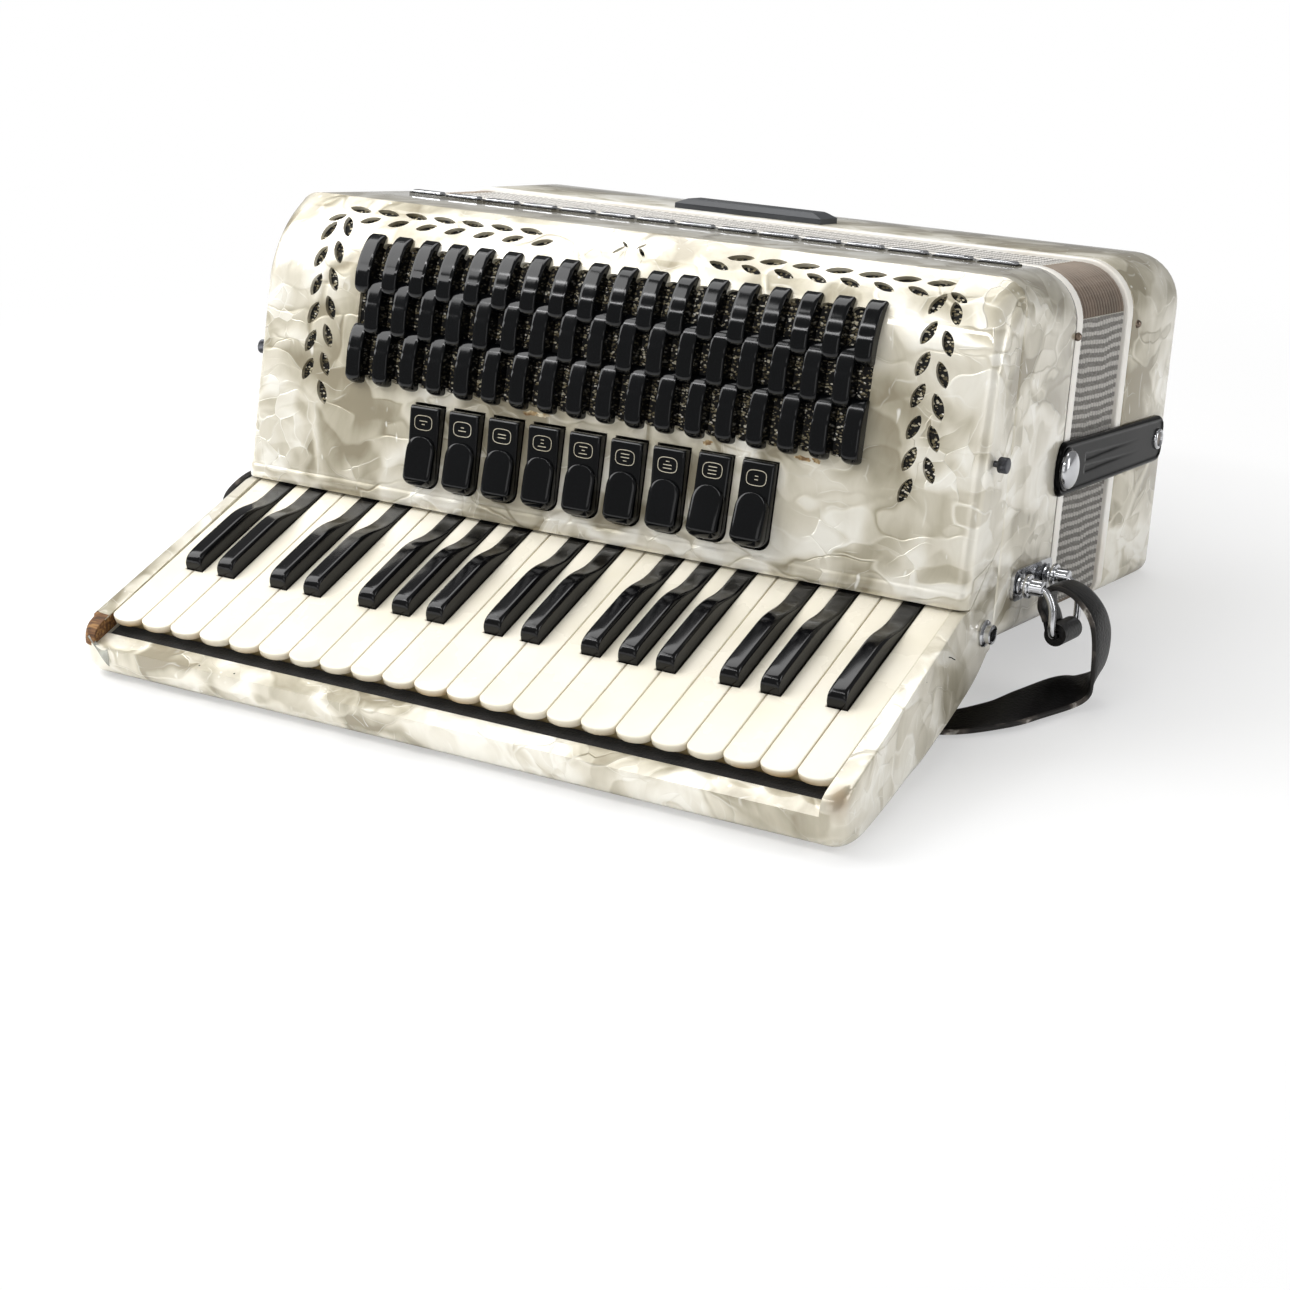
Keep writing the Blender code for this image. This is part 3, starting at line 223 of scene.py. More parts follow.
def make(name, form, look, body=None, sharp=35, table=True, weld=1e-6):
    """A mesh object from a form, smooth except where faces meet at more than the sharp angle."""
    points, faces = form
    points = to_table(points) if table else np.asarray(points, float)
    mesh = bpy.data.meshes.new(name)
    mesh.from_pydata(points.tolist(), [], [tuple(int(k) for k in face) for face in faces])
    shape = bmesh.new()
    shape.from_mesh(mesh)
    bmesh.ops.remove_doubles(shape, verts=shape.verts, dist=weld)
    bmesh.ops.recalc_face_normals(shape, faces=shape.faces)
    shape.to_mesh(mesh)
    shape.free()
    finish_mesh(mesh, sharp)
    piece = bpy.data.objects.new(name, mesh)
    bpy.context.scene.collection.objects.link(piece)
    mesh.materials.append(look)
    if body:
        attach(piece, body)
    return piece


def finish_mesh(mesh, sharp):
    """Smooth shading, with sharp edges where faces meet at more than this angle."""
    mesh.polygons.foreach_set("use_smooth", np.ones(len(mesh.polygons), bool))
    mesh.set_sharp_from_angle(angle=math.radians(sharp))
    mesh.update()


def cut(piece, cutters, operation="DIFFERENCE", sharp=35):
    """Applies a Boolean with forms in the instrument's axes."""
    group = bpy.data.collections.new("cutters")
    for number, form in enumerate(cutters):
        cutter = make(f"cutter_{number}", form, piece.data.materials[0])
        bpy.context.scene.collection.objects.unlink(cutter)
        group.objects.link(cutter)
    step = piece.modifiers.new("cut", "BOOLEAN")
    step.operation = operation
    step.solver = "EXACT"
    step.operand_type = "COLLECTION"
    step.collection = group
    bpy.context.view_layer.update()
    graph = bpy.context.evaluated_depsgraph_get()
    mesh = bpy.data.meshes.new_from_object(piece.evaluated_get(graph))
    piece.modifiers.clear()
    piece.data = mesh
    for cutter in list(group.objects):
        bpy.data.objects.remove(cutter, do_unlink=True)
    bpy.data.collections.remove(group)
    finish_mesh(mesh, sharp)
    return piece


# %% [markdown]
# Light and floor. The object stands on a plain pale floor under five soft lamps. The world is a
# pale grey that shows in full to the camera and through clear pieces, and lights the object
# with about a third of that.

# %% Nodes and light
def add_node(tree, kind, settings=None, **links):
    """Adds a node, sets its properties, and fills its inputs with values or other sockets.

    A single word of settings is the operation, and stops are a ramp's places and hex colours. An
    input is given by its name, or as i and its number.
    """
    node = tree.nodes.new("ShaderNode" + kind)
    if isinstance(settings, str):
        settings = {"operation": settings}
    for key, value in (settings or {}).items():
        if key != "stops":
            setattr(node, key, value)
            continue
        band = node.color_ramp
        while len(band.elements) < len(value):
            band.elements.new(0.5)
        for element, (place, colour) in zip(band.elements, value):
            element.position = place
            element.color = hex_linear(colour)
    for key, value in links.items():
        socket = node.inputs[int(key[1:]) if key[0] == "i" and key[1:].isdigit()
                             else key.replace("_", " ")]
        if isinstance(value, bpy.types.NodeSocket):
            tree.links.new(value, socket)
        else:
            socket.default_value = value
    return node


EASED = {"interpolation_type": "SMOOTHSTEP"}


def lamp(name, place, aim, size, power):
    """A rectangular lamp whose back points away from its aim."""
    data = bpy.data.lights.new(name, "AREA")
    data.shape = "RECTANGLE"
    data.size, data.size_y = size
    data.energy = power
    made = bpy.data.objects.new(name, data)
    bpy.context.scene.collection.objects.link(made)
    from_aim = Vector(place) - Vector(aim)
    made.rotation_euler = from_aim.to_track_quat("Z", "Y").to_euler()
    made.location = place


lamp("left_window", (-0.85, -0.35, 0.85), (-0.05, 0, 0.1), (0.8, 1.0), 12)
lamp("overhead", (-0.25, 0.35, 1.3), (0, 0, 0.1), (1.1, 0.6), 8)
lamp("front_fill", (0.5, -1.9, 0.7), (0, 0, 0.1), (1.2, 0.9), 4)
lamp("right_wall", (1.6, 0.3, 0.6), (0.1, 0, 0.1), (0.4, 1.0), 6)
lamp("strip", (-0.1, -0.75, 1.1), (0, 0, 0.1), (1.3, 0.07), 4)

world = bpy.data.worlds.new("studio")
bpy.context.scene.world = world
world.use_nodes = True
world_tree = world.node_tree
world_tree.nodes.clear()
path = add_node(world_tree, "LightPath")
seen = add_node(world_tree, "Math", "MAXIMUM",
                i0=path.outputs["Is Camera Ray"], i1=path.outputs["Is Transmission Ray"])
glow = add_node(world_tree, "MapRange", None, Value=seen.outputs[0], To_Min=0.36, To_Max=1.0)
sky = add_node(world_tree, "Background", None, Strength=glow.outputs[0])
add_node(world_tree, "OutputWorld", None, Surface=sky.outputs[0])

# %% [markdown]
# The floor is white paper. Near the object it takes light and shadow as paper does. Between 25
# and 85 cm from its middle it goes over, for the camera only, into plain white. The distance
# comes from the floor's own coordinates.

# %% Floor
floor_look = bpy.data.materials.new("white_paper_floor")
floor_look.use_nodes = True
tree = floor_look.node_tree
shader = tree.nodes["Principled BSDF"]
shader.inputs["Base Color"].default_value = hex_linear("#fafafa")
shader.inputs["Roughness"].default_value = 0.9
shader.inputs["Specular IOR Level"].default_value = 0.1
place = add_node(tree, "TexCoord").outputs["Object"]
away = add_node(tree, "VectorMath", "LENGTH", i0=place).outputs["Value"]
fade = add_node(tree, "MapRange", EASED, Value=away,
                From_Min=0.25, From_Max=0.85, To_Min=0.45, To_Max=1.0).outputs[0]
by_eye = add_node(tree, "LightPath").outputs["Is Camera Ray"]
share = add_node(tree, "Math", "MULTIPLY", i0=fade, i1=by_eye).outputs[0]
white = add_node(tree, "Emission", None, Strength=1.0)
paper = add_node(tree, "MixShader", None, i0=share, i1=shader.outputs[0], i2=white.outputs[0])
tree.links.new(paper.outputs[0], tree.nodes["Material Output"].inputs["Surface"])
floor = bpy.data.objects.new("floor", bpy.data.meshes.new("floor"))
square = [(-9, -9, -0.0005), (9, -9, -0.0005), (9, 9, -0.0005), (-9, 9, -0.0005)]
floor.data.from_pydata(square, [], [(0, 1, 2, 3)])
floor.data.materials.append(floor_look)
bpy.context.scene.collection.objects.link(floor)
print("light: five lamps, pale world and white floor")

# %% [markdown]
# Finishes. Each is named for the real material. They read the object's own coordinates, so that a
# pattern stays on its piece from every side and at every pose.

# %% A new material
def finish(name, colour, roughness, metallic=0.0, **more):
    """A Principled material with plain values on its sockets; returns it, its tree and shader."""
    made = bpy.data.materials.new(name)
    made.use_nodes = True
    tree = made.node_tree
    shader = tree.nodes["Principled BSDF"]
    shader.inputs["Base Color"].default_value = hex_linear(colour)
    shader.inputs["Roughness"].default_value = roughness
    shader.inputs["Metallic"].default_value = metallic
    for key, value in more.items():
        shader.inputs[key.replace("_", " ")].default_value = value
    return made, tree, shader


# %% [markdown]
# Pearl celluloid is made by pressing crumpled sheets of pearl-pigmented plastic into a clear
# block and slicing it. So it shows patches 20 to 40 mm wide, each like satin lit at its own
# angle, with soft borders, and short bright creases where a fold was pressed flat. Each Voronoi
# cell is one patch: its random colour is a direction, and a sine along it, measured from the
# cell's own middle, is the satin. Broad patches and long narrow ones blend into their neighbours;
# small sharp ones lie only where a noise allows. A crease is part of a cell's border, let through
# by a second noise, so no border closes round its cell. Slender bright shards 3 to 8 mm long lie
# in the sheet as well. The clear top of the sheet is a smooth coat over the crumpled layer. A
# painted attribute browns it where a hand or a table has rubbed it thin.

# %% Pearl celluloid
def satin_patches(tree, place, scale, turns, blend):
    """Soft light and dark of crumpled sheet; the blend is how far patches melt into each other."""
    cell = add_node(tree, "TexVoronoi", {"feature": "SMOOTH_F1"}, Vector=place, Scale=scale,
                    Smoothness=blend)
    local = add_node(tree, "VectorMath", "SUBTRACT",
                     i0=place, i1=cell.outputs["Position"]).outputs[0]
    way = add_node(tree, "VectorMath", "SUBTRACT",
                   i0=cell.outputs["Color"], i1=(0.5, 0.5, 0.5)).outputs[0]
    along = add_node(tree, "VectorMath", "DOT_PRODUCT", i0=way, i1=local).outputs["Value"]
    shade = add_node(tree, "SeparateColor", None, Color=cell.outputs["Color"]).outputs["Blue"]
    angle = add_node(tree, "Math", "ADD",
                     i0=add_node(tree, "Math", "MULTIPLY", i0=along, i1=turns * scale).outputs[0],
                     i1=add_node(tree, "Math", "MULTIPLY", i0=shade, i1=7.0).outputs[0]).outputs[0]
    return add_node(tree, "Math", "MULTIPLY_ADD",
                    i0=add_node(tree, "Math", "SINE", i0=angle).outputs[0], i1=0.5,
                    i2=0.5).outputs[0]


def creases(tree, place, scale, width, allowed):
    """Thin lines on the borders of the cells, where the second value allows them."""
    edge = add_node(tree, "TexVoronoi", {"feature": "DISTANCE_TO_EDGE"}, Vector=place, Scale=scale)
    return add_node(tree, "Math", "MULTIPLY",
                    i0=add_node(tree, "MapRange", EASED, Value=edge.outputs["Distance"],
                                From_Min=width, From_Max=0.0).outputs[0], i1=allowed).outputs[0]


def pearl_celluloid(name, tones):
    """Satin of three patch sizes through a ramp of four tones, with creases, shards and wear."""
    made, tree, shader = finish(name, tones[2], 0.36, Coat_Weight=1.0, Coat_Roughness=0.03,
                                Metallic=0.25)
    place = add_node(tree, "TexCoord").outputs["Object"]
    warp = add_node(tree, "TexNoise", None, Vector=place, Scale=14.0, Detail=3.0)
    bent = add_node(tree, "VectorMath", "MULTIPLY_ADD",
                    i0=warp.outputs["Color"], i1=(0.055, 0.055, 0.055), i2=place).outputs[0]
    tilted = add_node(tree, "Mapping", None, Vector=bent, Rotation=(0.35, 0.8, 0.2),
                      Scale=(1.0, 1.2, 2.4))
    tilted = tilted.outputs[0]
    broad = satin_patches(tree, bent, 25.0, 4.8, 0.6)
    long_wave = satin_patches(tree, tilted, 34.0, 4.4, 0.36)
    small = satin_patches(tree, bent, 80.0, 5.0, 0.12)
    where = add_node(tree, "TexNoise", None, Vector=place, Scale=24.0, Detail=1.5).outputs["Fac"]
    crumpled = add_node(tree, "MapRange", EASED, Value=where, From_Min=0.50,
                        From_Max=0.62).outputs[0]
    broken = add_node(tree, "TexNoise", None, Vector=place, Scale=52.0, Detail=1.0).outputs["Fac"]
    fold = add_node(tree, "Math", "MAXIMUM",
                    i0=creases(tree, bent, 25.0, 0.016,
                               add_node(tree, "MapRange", EASED, Value=broken, From_Min=0.52,
                                        From_Max=0.62).outputs[0]),
                    i1=creases(tree, tilted, 34.0, 0.018,
                               add_node(tree, "MapRange", EASED, Value=broken, From_Min=0.46,
                                        From_Max=0.36).outputs[0])).outputs[0]
    fine_folds = add_node(tree, "Math", "MULTIPLY", i0=creases(tree, bent, 80.0, 0.035, crumpled),
                          i1=add_node(tree, "MapRange", EASED, Value=broken, From_Min=0.44,
                                      From_Max=0.54).outputs[0]).outputs[0]
    crease = add_node(tree, "Math", "MAXIMUM", i0=fold, i1=fine_folds).outputs[0]
    slim = add_node(tree, "Mapping", None, Vector=bent, Rotation=(0.25, 0.3, 0.0),
                    Scale=(1.0, 1.0, 0.14))
    shard = add_node(tree, "TexVoronoi", {"feature": "F1"}, Vector=slim.outputs[0], Scale=330.0)
    chosen = add_node(tree, "SeparateColor", None, Color=shard.outputs["Color"]).outputs["Red"]
    shards = add_node(tree, "Math", "MULTIPLY",
                      i0=add_node(tree, "MapRange", EASED, Value=chosen, From_Min=0.93,
                                  From_Max=0.96).outputs[0],
                      i1=add_node(tree, "MapRange", EASED, Value=shard.outputs["Distance"],
                                  From_Min=0.38, From_Max=0.10).outputs[0]).outputs[0]
    streaks = add_node(tree, "TexNoise", None, Vector=slim.outputs[0], Scale=170.0,
                       Detail=3.0).outputs["Fac"]
    satin = add_node(tree, "Math", "ADD",
                     i0=add_node(tree, "Math", "MULTIPLY", i0=broad, i1=0.46).outputs[0],
                     i1=add_node(tree, "Math", "MULTIPLY", i0=long_wave,
                                 i1=0.30).outputs[0]).outputs[0]
    satin = add_node(tree, "Math", "ADD", i0=satin,
                     i1=add_node(tree, "Math", "MULTIPLY",
                                 i0=add_node(tree, "Math", "MULTIPLY", i0=small,
                                             i1=crumpled).outputs[0],
                                 i1=0.32).outputs[0]).outputs[0]
    satin = add_node(tree, "Math", "ADD", i0=satin,
                     i1=add_node(tree, "Math", "MULTIPLY",
                                 i0=add_node(tree, "Math", "SUBTRACT", i0=streaks,
                                             i1=0.5).outputs[0], i1=0.22).outputs[0]).outputs[0]
    cloud = add_node(tree, "TexNoise", None, Vector=place, Scale=9.0, Detail=3.0).outputs["Fac"]
    value = add_node(tree, "Math", {"operation": "ADD", "use_clamp": True}, i0=satin,
                     i1=add_node(tree, "Math", "MULTIPLY",
                                 i0=add_node(tree, "Math", "SUBTRACT", i0=cloud,
                                             i1=0.5).outputs[0], i1=0.8).outputs[0]).outputs[0]
    colour = add_node(tree, "ValToRGB",
                      {"stops": ((0.06, tones[0]), (0.30, tones[1]), (0.54, tones[2]),
                                 (0.84, tones[3]))}, Fac=value).outputs["Color"]
    bright = add_node(tree, "Math", "MAXIMUM",
                      i0=add_node(tree, "Math", "MULTIPLY", i0=crease, i1=0.30).outputs[0],
                      i1=add_node(tree, "Math", "MULTIPLY", i0=shards,
                                  i1=0.65).outputs[0]).outputs[0]
    lit = add_node(tree, "Mix", {"data_type": "RGBA"}, i0=bright, i6=colour,
                   i7=hex_linear("#fffef8"))
    worn = add_node(tree, "Attribute", {"attribute_name": "worn"}).outputs["Fac"]
    rubbed = add_node(tree, "Mix", {"data_type": "RGBA"},
                      i0=add_node(tree, "Math", "MULTIPLY", i0=worn, i1=0.6).outputs[0],
                      i6=lit.outputs[2], i7=hex_linear("#94764f"))
    tree.links.new(rubbed.outputs[2], shader.inputs["Base Color"])
    height = add_node(tree, "Math", "ADD",
                      i0=add_node(tree, "Math", "MULTIPLY", i0=satin, i1=0.8).outputs[0],
                      i1=add_node(tree, "Math", "MULTIPLY", i0=crease,
                                  i1=0.06).outputs[0]).outputs[0]
    raised = add_node(tree, "Bump", None, Height=height, Strength=0.7, Distance=0.0016)
    tree.links.new(raised.outputs["Normal"], shader.inputs["Normal"])
    return made


PEARL = pearl_celluloid("pearl_celluloid", ("#988f78", "#c1baa5", "#dfd9c8", "#f8f5ea"))


# %% [markdown]
# The seam of the grille cover is filled with old glue and dirt, from dark brown to tan. The
# stains below the louvres are a paler brown. The frames of the bellows are plain cream
# plastic.

# %% Seam and frames
def stained(name, stops, scale, roughness, relief):
    """A noise of one scale drives a colour ramp and the relief together."""
    made, tree, shader = finish(name, stops[0][1], roughness)
    place = add_node(tree, "TexCoord").outputs["Object"]
    cloud = add_node(tree, "TexNoise", None, Vector=place, Scale=scale, Detail=4.0).outputs["Fac"]
    tree.links.new(add_node(tree, "ValToRGB", {"stops": stops}, Fac=cloud).outputs["Color"],
                   shader.inputs["Base Color"])
    raised = add_node(tree, "Bump", None, Height=cloud, Strength=0.5, Distance=relief)
    tree.links.new(raised.outputs["Normal"], shader.inputs["Normal"])
    return made


SEAM_LOOK = stained("aged_seam_glue", ((0.36, "#4a3423"), (0.52, "#7f5f3d"), (0.66, "#b08d60")),
                    60.0, 0.55, 0.0004)
STAIN = stained("brown_glue_stain", ((0.40, "#7a5c38"), (0.52, "#b59a6c"), (0.62, "#ded3b6")),
                240.0, 0.6, 0.0003)
FRAME_LOOK = stained("cream_frame_plastic",
                     ((0.32, "#ebe4d8"), (0.50, "#f6f2ea"), (0.75, "#faf8f3")), 30.0, 0.3, 0.0001)


# %% [markdown]
# Key tops are cast ivory-coloured plastic. Their cut edges are drawn tan, which an attribute
# painted on the mesh places below the rounded edge; the sides under the plate are a darker tan.
# Both are partly the tan of age and partly painted shade in the narrow gaps between keys. The
# black parts are polished celluloid or phenolic: nearly black, with a sharp reflection and faint
# haze from fingers.

# %% Ivory and black plastics
def moulded(name, colour, shade, roughness, haze, edge=None, **more):
    """Glossy plastic with a slow change of colour and of roughness, both from one noise."""
    made, tree, shader = finish(name, colour, roughness, **more)
    place = add_node(tree, "TexCoord").outputs["Object"]
    cloud = add_node(tree, "TexNoise", None, Vector=place, Scale=22.0, Detail=4.0).outputs["Fac"]
    tone = add_node(tree, "ValToRGB", {"stops": ((0.3, shade), (0.65, colour))},
                    Fac=cloud).outputs["Color"]
    # The edge colour goes where the side attribute is: partly tan of age, partly painted shade in
    # the gaps between keys.
    if edge:
        side = add_node(tree, "Attribute", {"attribute_name": "side"}).outputs["Fac"]
        edge_tan_and_gap_shade = add_node(tree, "Math", "MULTIPLY", i0=side,
                         i1=add_node(tree, "MapRange", EASED, Value=cloud, From_Min=0.35,
                                     From_Max=0.65).outputs[0]).outputs[0]
        tone = add_node(tree, "Mix", {"data_type": "RGBA"}, i0=edge_tan_and_gap_shade, i6=tone,
                        i7=hex_linear(edge)).outputs[2]
    tree.links.new(tone, shader.inputs["Base Color"])
    rough = add_node(tree, "MapRange", None, Value=cloud, From_Min=0.3, From_Max=0.75,
                     To_Min=roughness, To_Max=roughness + haze)
    tree.links.new(rough.outputs[0], shader.inputs["Roughness"])
    fine = add_node(tree, "TexNoise", None, Vector=place, Scale=160.0, Detail=2.0).outputs["Fac"]
    raised = add_node(tree, "Bump", None, Height=fine, Strength=0.12, Distance=0.00012)
    tree.links.new(raised.outputs["Normal"], shader.inputs["Normal"])
    return made


# The keys' tan edge colour and their darker sides are partly age and partly painted shade in the
# gaps between keys.
IVORY = moulded("ivory_plastic", "#f3eddd", "#eae3cf", 0.22, 0.12, "#b99c6c")
IVORY_SIDE_TAN_AND_GAP_SHADE = moulded("ivory_plastic_side", "#cbb78c", "#9c8453", 0.35, 0.15)
BLACK = moulded("polished_black_plastic", "#060709", "#040506", 0.07, 0.10,
                Specular_IOR_Level=0.34)
KEY_BLACK = moulded("black_key_plastic", "#050506", "#08080a", 0.09, 0.10, Specular_IOR_Level=0.34)
SIGN = moulded("cream_inlay", "#cfc9b6", "#a8a08a", 0.4, 0.1)
BUTTON = moulded("button_plastic", "#efe6cf", "#dccfae", 0.25, 0.1)


# %% [markdown]
# Chrome on brass: a mirror with fine wiping marks and a little grey in it from age.

# %% Metals
def plated(name, colour, roughness, marks):
    """Polished metal whose wiping marks change the roughness and the relief together."""
    made, tree, shader = finish(name, colour, roughness, 1.0)
    place = add_node(tree, "TexCoord").outputs["Object"]
    fine = add_node(tree, "TexNoise", None, Vector=place, Scale=420.0, Detail=3.0).outputs["Fac"]
    rough = add_node(tree, "MapRange", None, Value=fine, From_Min=0.35, From_Max=0.7,
                     To_Min=roughness, To_Max=roughness + marks)
    tree.links.new(rough.outputs[0], shader.inputs["Roughness"])
    raised = add_node(tree, "Bump", None, Height=fine, Strength=0.2, Distance=0.00006)
    tree.links.new(raised.outputs["Normal"], shader.inputs["Normal"])
    return made


CHROME = plated("chrome_plate", "#c9cacd", 0.08, 0.18)
DARK_STEEL = plated("tarnished_pin_steel", "#7d6f63", 0.25, 0.2)
BRASS = plated("worn_brass_rivet", "#6d645c", 0.2, 0.2)
SCREW_STEEL = plated("grey_screw_steel", "#55565a", 0.3, 0.25)


# %% [markdown]
# The grille cloth is black gauze with flat metal thread worked through it. The thread shows as a
# close net of bright flecks about a millimetre long, with black holes between: the cells of a
# stretched Voronoi, most of them bright, each in its own tone.

# %% Grille cloth
def grille_cloth():
    """Black gauze with flecks of flat metal thread, one to a stretched cell."""
    made, tree, shader = finish("black_and_gilt_gauze", "#0b0a09", 0.75)
    place = add_node(tree, "TexCoord").outputs["Object"]
    bend = add_node(tree, "TexNoise", None, Vector=place, Scale=240.0, Detail=2.0)
    shift = add_node(tree, "VectorMath", "MULTIPLY_ADD",
                     i0=bend.outputs["Color"], i1=(0.0022, 0.0022, 0.0022), i2=place).outputs[0]
    turned_place = add_node(tree, "Mapping", None, Vector=shift, Rotation=(0.0, 0.9, 0.0),
                            Scale=(1.0, 1.0, 1.8))
    cell = add_node(tree, "TexVoronoi", {"feature": "F1"}, Vector=turned_place.outputs[0],
                    Scale=540.0)
    pick = add_node(tree, "SeparateColor", None, Color=cell.outputs["Color"]).outputs["Green"]
    core = add_node(tree, "MapRange", EASED, Value=cell.outputs["Distance"], From_Min=0.56,
                    From_Max=0.42).outputs[0]
    thread = add_node(tree, "Math", "MULTIPLY",
                      i0=add_node(tree, "MapRange", EASED, Value=pick, From_Min=0.26,
                                  From_Max=0.34).outputs[0], i1=core).outputs[0]
    tone = add_node(tree, "ValToRGB",
                    {"stops": ((0.3, "#3f3828"), (0.62, "#857a5c"), (0.86, "#d8cfb4"),
                               (1.0, "#fffaf0"))}, Fac=pick).outputs["Color"]
    mixed = add_node(tree, "Mix", {"data_type": "RGBA"}, i0=thread, i6=hex_linear("#0b0a09"),
                     i7=tone)
    tree.links.new(mixed.outputs[2], shader.inputs["Base Color"])
    rough = add_node(tree, "MapRange", None, Value=thread, To_Min=0.85, To_Max=0.45)
    tree.links.new(rough.outputs[0], shader.inputs["Roughness"])
    tree.links.new(add_node(tree, "Math", "MULTIPLY", i0=thread, i1=0.3).outputs[0],
                   shader.inputs["Metallic"])
    raised = add_node(tree, "Bump", None, Height=thread, Strength=0.6, Distance=0.0003)
    tree.links.new(raised.outputs["Normal"], shader.inputs["Normal"])
    return made


GAUZE = grille_cloth()


# %% [markdown]
# The bellows are pleated card covered with brown cloth. On the straight sides a woven tape in
# grey and white runs over the edge of each pleat; at the corners the brown covering shows, dark
# and slightly glossy. One material holds both, and an attribute painted on the mesh says where
# the tape is. The weave is rows 4.9 mm apart that waver a little, each a row of short bright
# threads; they are let through only on the edge of every fold, a painted highlight. The ends of
# the tape are bound with a pale thread. How near the crest a point lies gives painted shade in
# the valleys of the folds and a painted highlight on the crests of the brown cloth.

# %% Bellows cloth and tape
def bellows_cloth():
    """Brown cloth and tape from three attributes, with painted fold shade and crest highlights."""
    made, tree, shader = finish("bellows_cloth_and_tape", "#4a3225", 0.55)
    place = add_node(tree, "TexCoord").outputs["Object"]
    taped = add_node(tree, "Attribute", {"attribute_name": "tape"}).outputs["Fac"]
    crest = add_node(tree, "Attribute", {"attribute_name": "crest"}).outputs["Fac"]
    rows = add_node(tree, "Attribute", {"attribute_name": "around"}).outputs["Fac"]
    sway = add_node(tree, "TexNoise", None, Vector=place, Scale=24.0, Detail=2.0).outputs["Fac"]
    phase = add_node(tree, "Math", "ADD",
                     i0=add_node(tree, "Math", "MULTIPLY", i0=rows,
                                 i1=2 * math.pi / 0.0049).outputs[0],
                     i1=add_node(tree, "Math", "MULTIPLY", i0=sway, i1=9.0).outputs[0]).outputs[0]
    row = add_node(tree, "MapRange", EASED,
                   Value=add_node(tree, "Math", "SINE", i0=phase).outputs[0], From_Min=-0.35,
                   From_Max=0.5).outputs[0]
    # Painted highlight: the bright threads are let through only near the crest of each fold.
    threads_with_crest_highlight = add_node(tree, "Math", "MULTIPLY", i0=row,
                    i1=add_node(tree, "MapRange", EASED, Value=crest, From_Min=0.80,
                                From_Max=0.98).outputs[0]).outputs[0]
    fine = add_node(tree, "TexNoise", None, Vector=place, Scale=900.0, Detail=2.0).outputs["Fac"]
    thread = add_node(tree, "Math", {"operation": "ADD", "use_clamp": True},
                      i0=add_node(tree, "Math", "MULTIPLY", i0=threads_with_crest_highlight, i1=0.55).outputs[0],
                      i1=add_node(tree, "Math", "MULTIPLY", i0=fine, i1=0.6).outputs[0]).outputs[0]
    tape = add_node(tree, "ValToRGB",
                    {"stops": ((0.15, "#85827e"), (0.38, "#a5a29d"), (0.85, "#e6e3de"))},
                    Fac=thread).outputs["Color"]
    bound = add_node(tree, "Math", "MULTIPLY",
                     i0=add_node(tree, "MapRange", EASED, Value=taped, From_Min=0.50,
                                 From_Max=0.53).outputs[0],
                     i1=add_node(tree, "MapRange", EASED, Value=taped, From_Min=0.62,
                                 From_Max=0.59).outputs[0]).outputs[0]
    bound_tape = add_node(tree, "Mix", {"data_type": "RGBA"}, i0=bound, i6=tape,
                          i7=hex_linear("#d9d6cc"))
    wear = add_node(tree, "TexNoise", None, Vector=place, Scale=60.0, Detail=4.0).outputs["Fac"]
    brown = add_node(tree, "ValToRGB",
                     {"stops": ((0.3, "#4b382c"), (0.55, "#705a4a"), (0.8, "#94806c"))},
                     Fac=wear).outputs["Color"]
    # Painted highlight: the crests of the brown cloth are drawn lighter.
    ridge = add_node(tree, "Mix", {"data_type": "RGBA"},
                     i0=add_node(tree, "Math", "MULTIPLY",
                                 i0=add_node(tree, "MapRange", EASED, Value=crest, From_Min=0.86,
                                             From_Max=1.0).outputs[0], i1=0.6).outputs[0],
                     i6=brown, i7=hex_linear("#b3a798"))
    mixed = add_node(tree, "Mix", {"data_type": "RGBA"},
                     i0=add_node(tree, "Math", "GREATER_THAN", i0=taped, i1=0.5).outputs[0],
                     i6=ridge.outputs[2], i7=bound_tape.outputs[2])
    # Painted shade: the valleys of the folds are drawn dark, on tape and brown cloth alike.
    lit = add_node(tree, "MapRange", EASED, Value=crest, From_Min=0.30, From_Max=0.80).outputs[0]
    painted_valley_shade = add_node(tree, "Mix", {"data_type": "RGBA"}, i0=lit, i6=hex_linear("#2a2623"),
                      i7=mixed.outputs[2])
    tree.links.new(painted_valley_shade.outputs[2], shader.inputs["Base Color"])
    rough = add_node(tree, "MapRange", None, Value=taped, To_Min=0.38, To_Max=0.85)
    tree.links.new(rough.outputs[0], shader.inputs["Roughness"])
    raised = add_node(tree, "Bump", None, Height=thread, Strength=0.5, Distance=0.0003)
    tree.links.new(raised.outputs["Normal"], shader.inputs["Normal"])
    return made


BELLOWS = bellows_cloth()


# %% [markdown]
# Leather: split hide with a black finish. A Voronoi at about 1.5 mm gives the grain, and the edge
# of the strap is paler where the finish has cracked.

# %% Leather, felt, wood and flake
def leather(name, colour, worn, roughness):
    """Finished hide: small cells for the grain, and a slow noise that wears it paler."""
    made, tree, shader = finish(name, colour, roughness, Specular_IOR_Level=0.25)
    place = add_node(tree, "TexCoord").outputs["Object"]
    cell = add_node(tree, "TexVoronoi", {"feature": "F1"}, Vector=place,
                    Scale=650.0).outputs["Distance"]
    cloud = add_node(tree, "TexNoise", None, Vector=place, Scale=45.0, Detail=5.0).outputs["Fac"]
    tree.links.new(add_node(tree, "ValToRGB",
                            {"stops": ((0.35, colour), (0.62, colour), (0.8, worn))},
                            Fac=cloud).outputs["Color"], shader.inputs["Base Color"])
    raised = add_node(tree, "Bump", None, Height=cell, Strength=0.35, Distance=0.0004)
    tree.links.new(raised.outputs["Normal"], shader.inputs["Normal"])
    return made


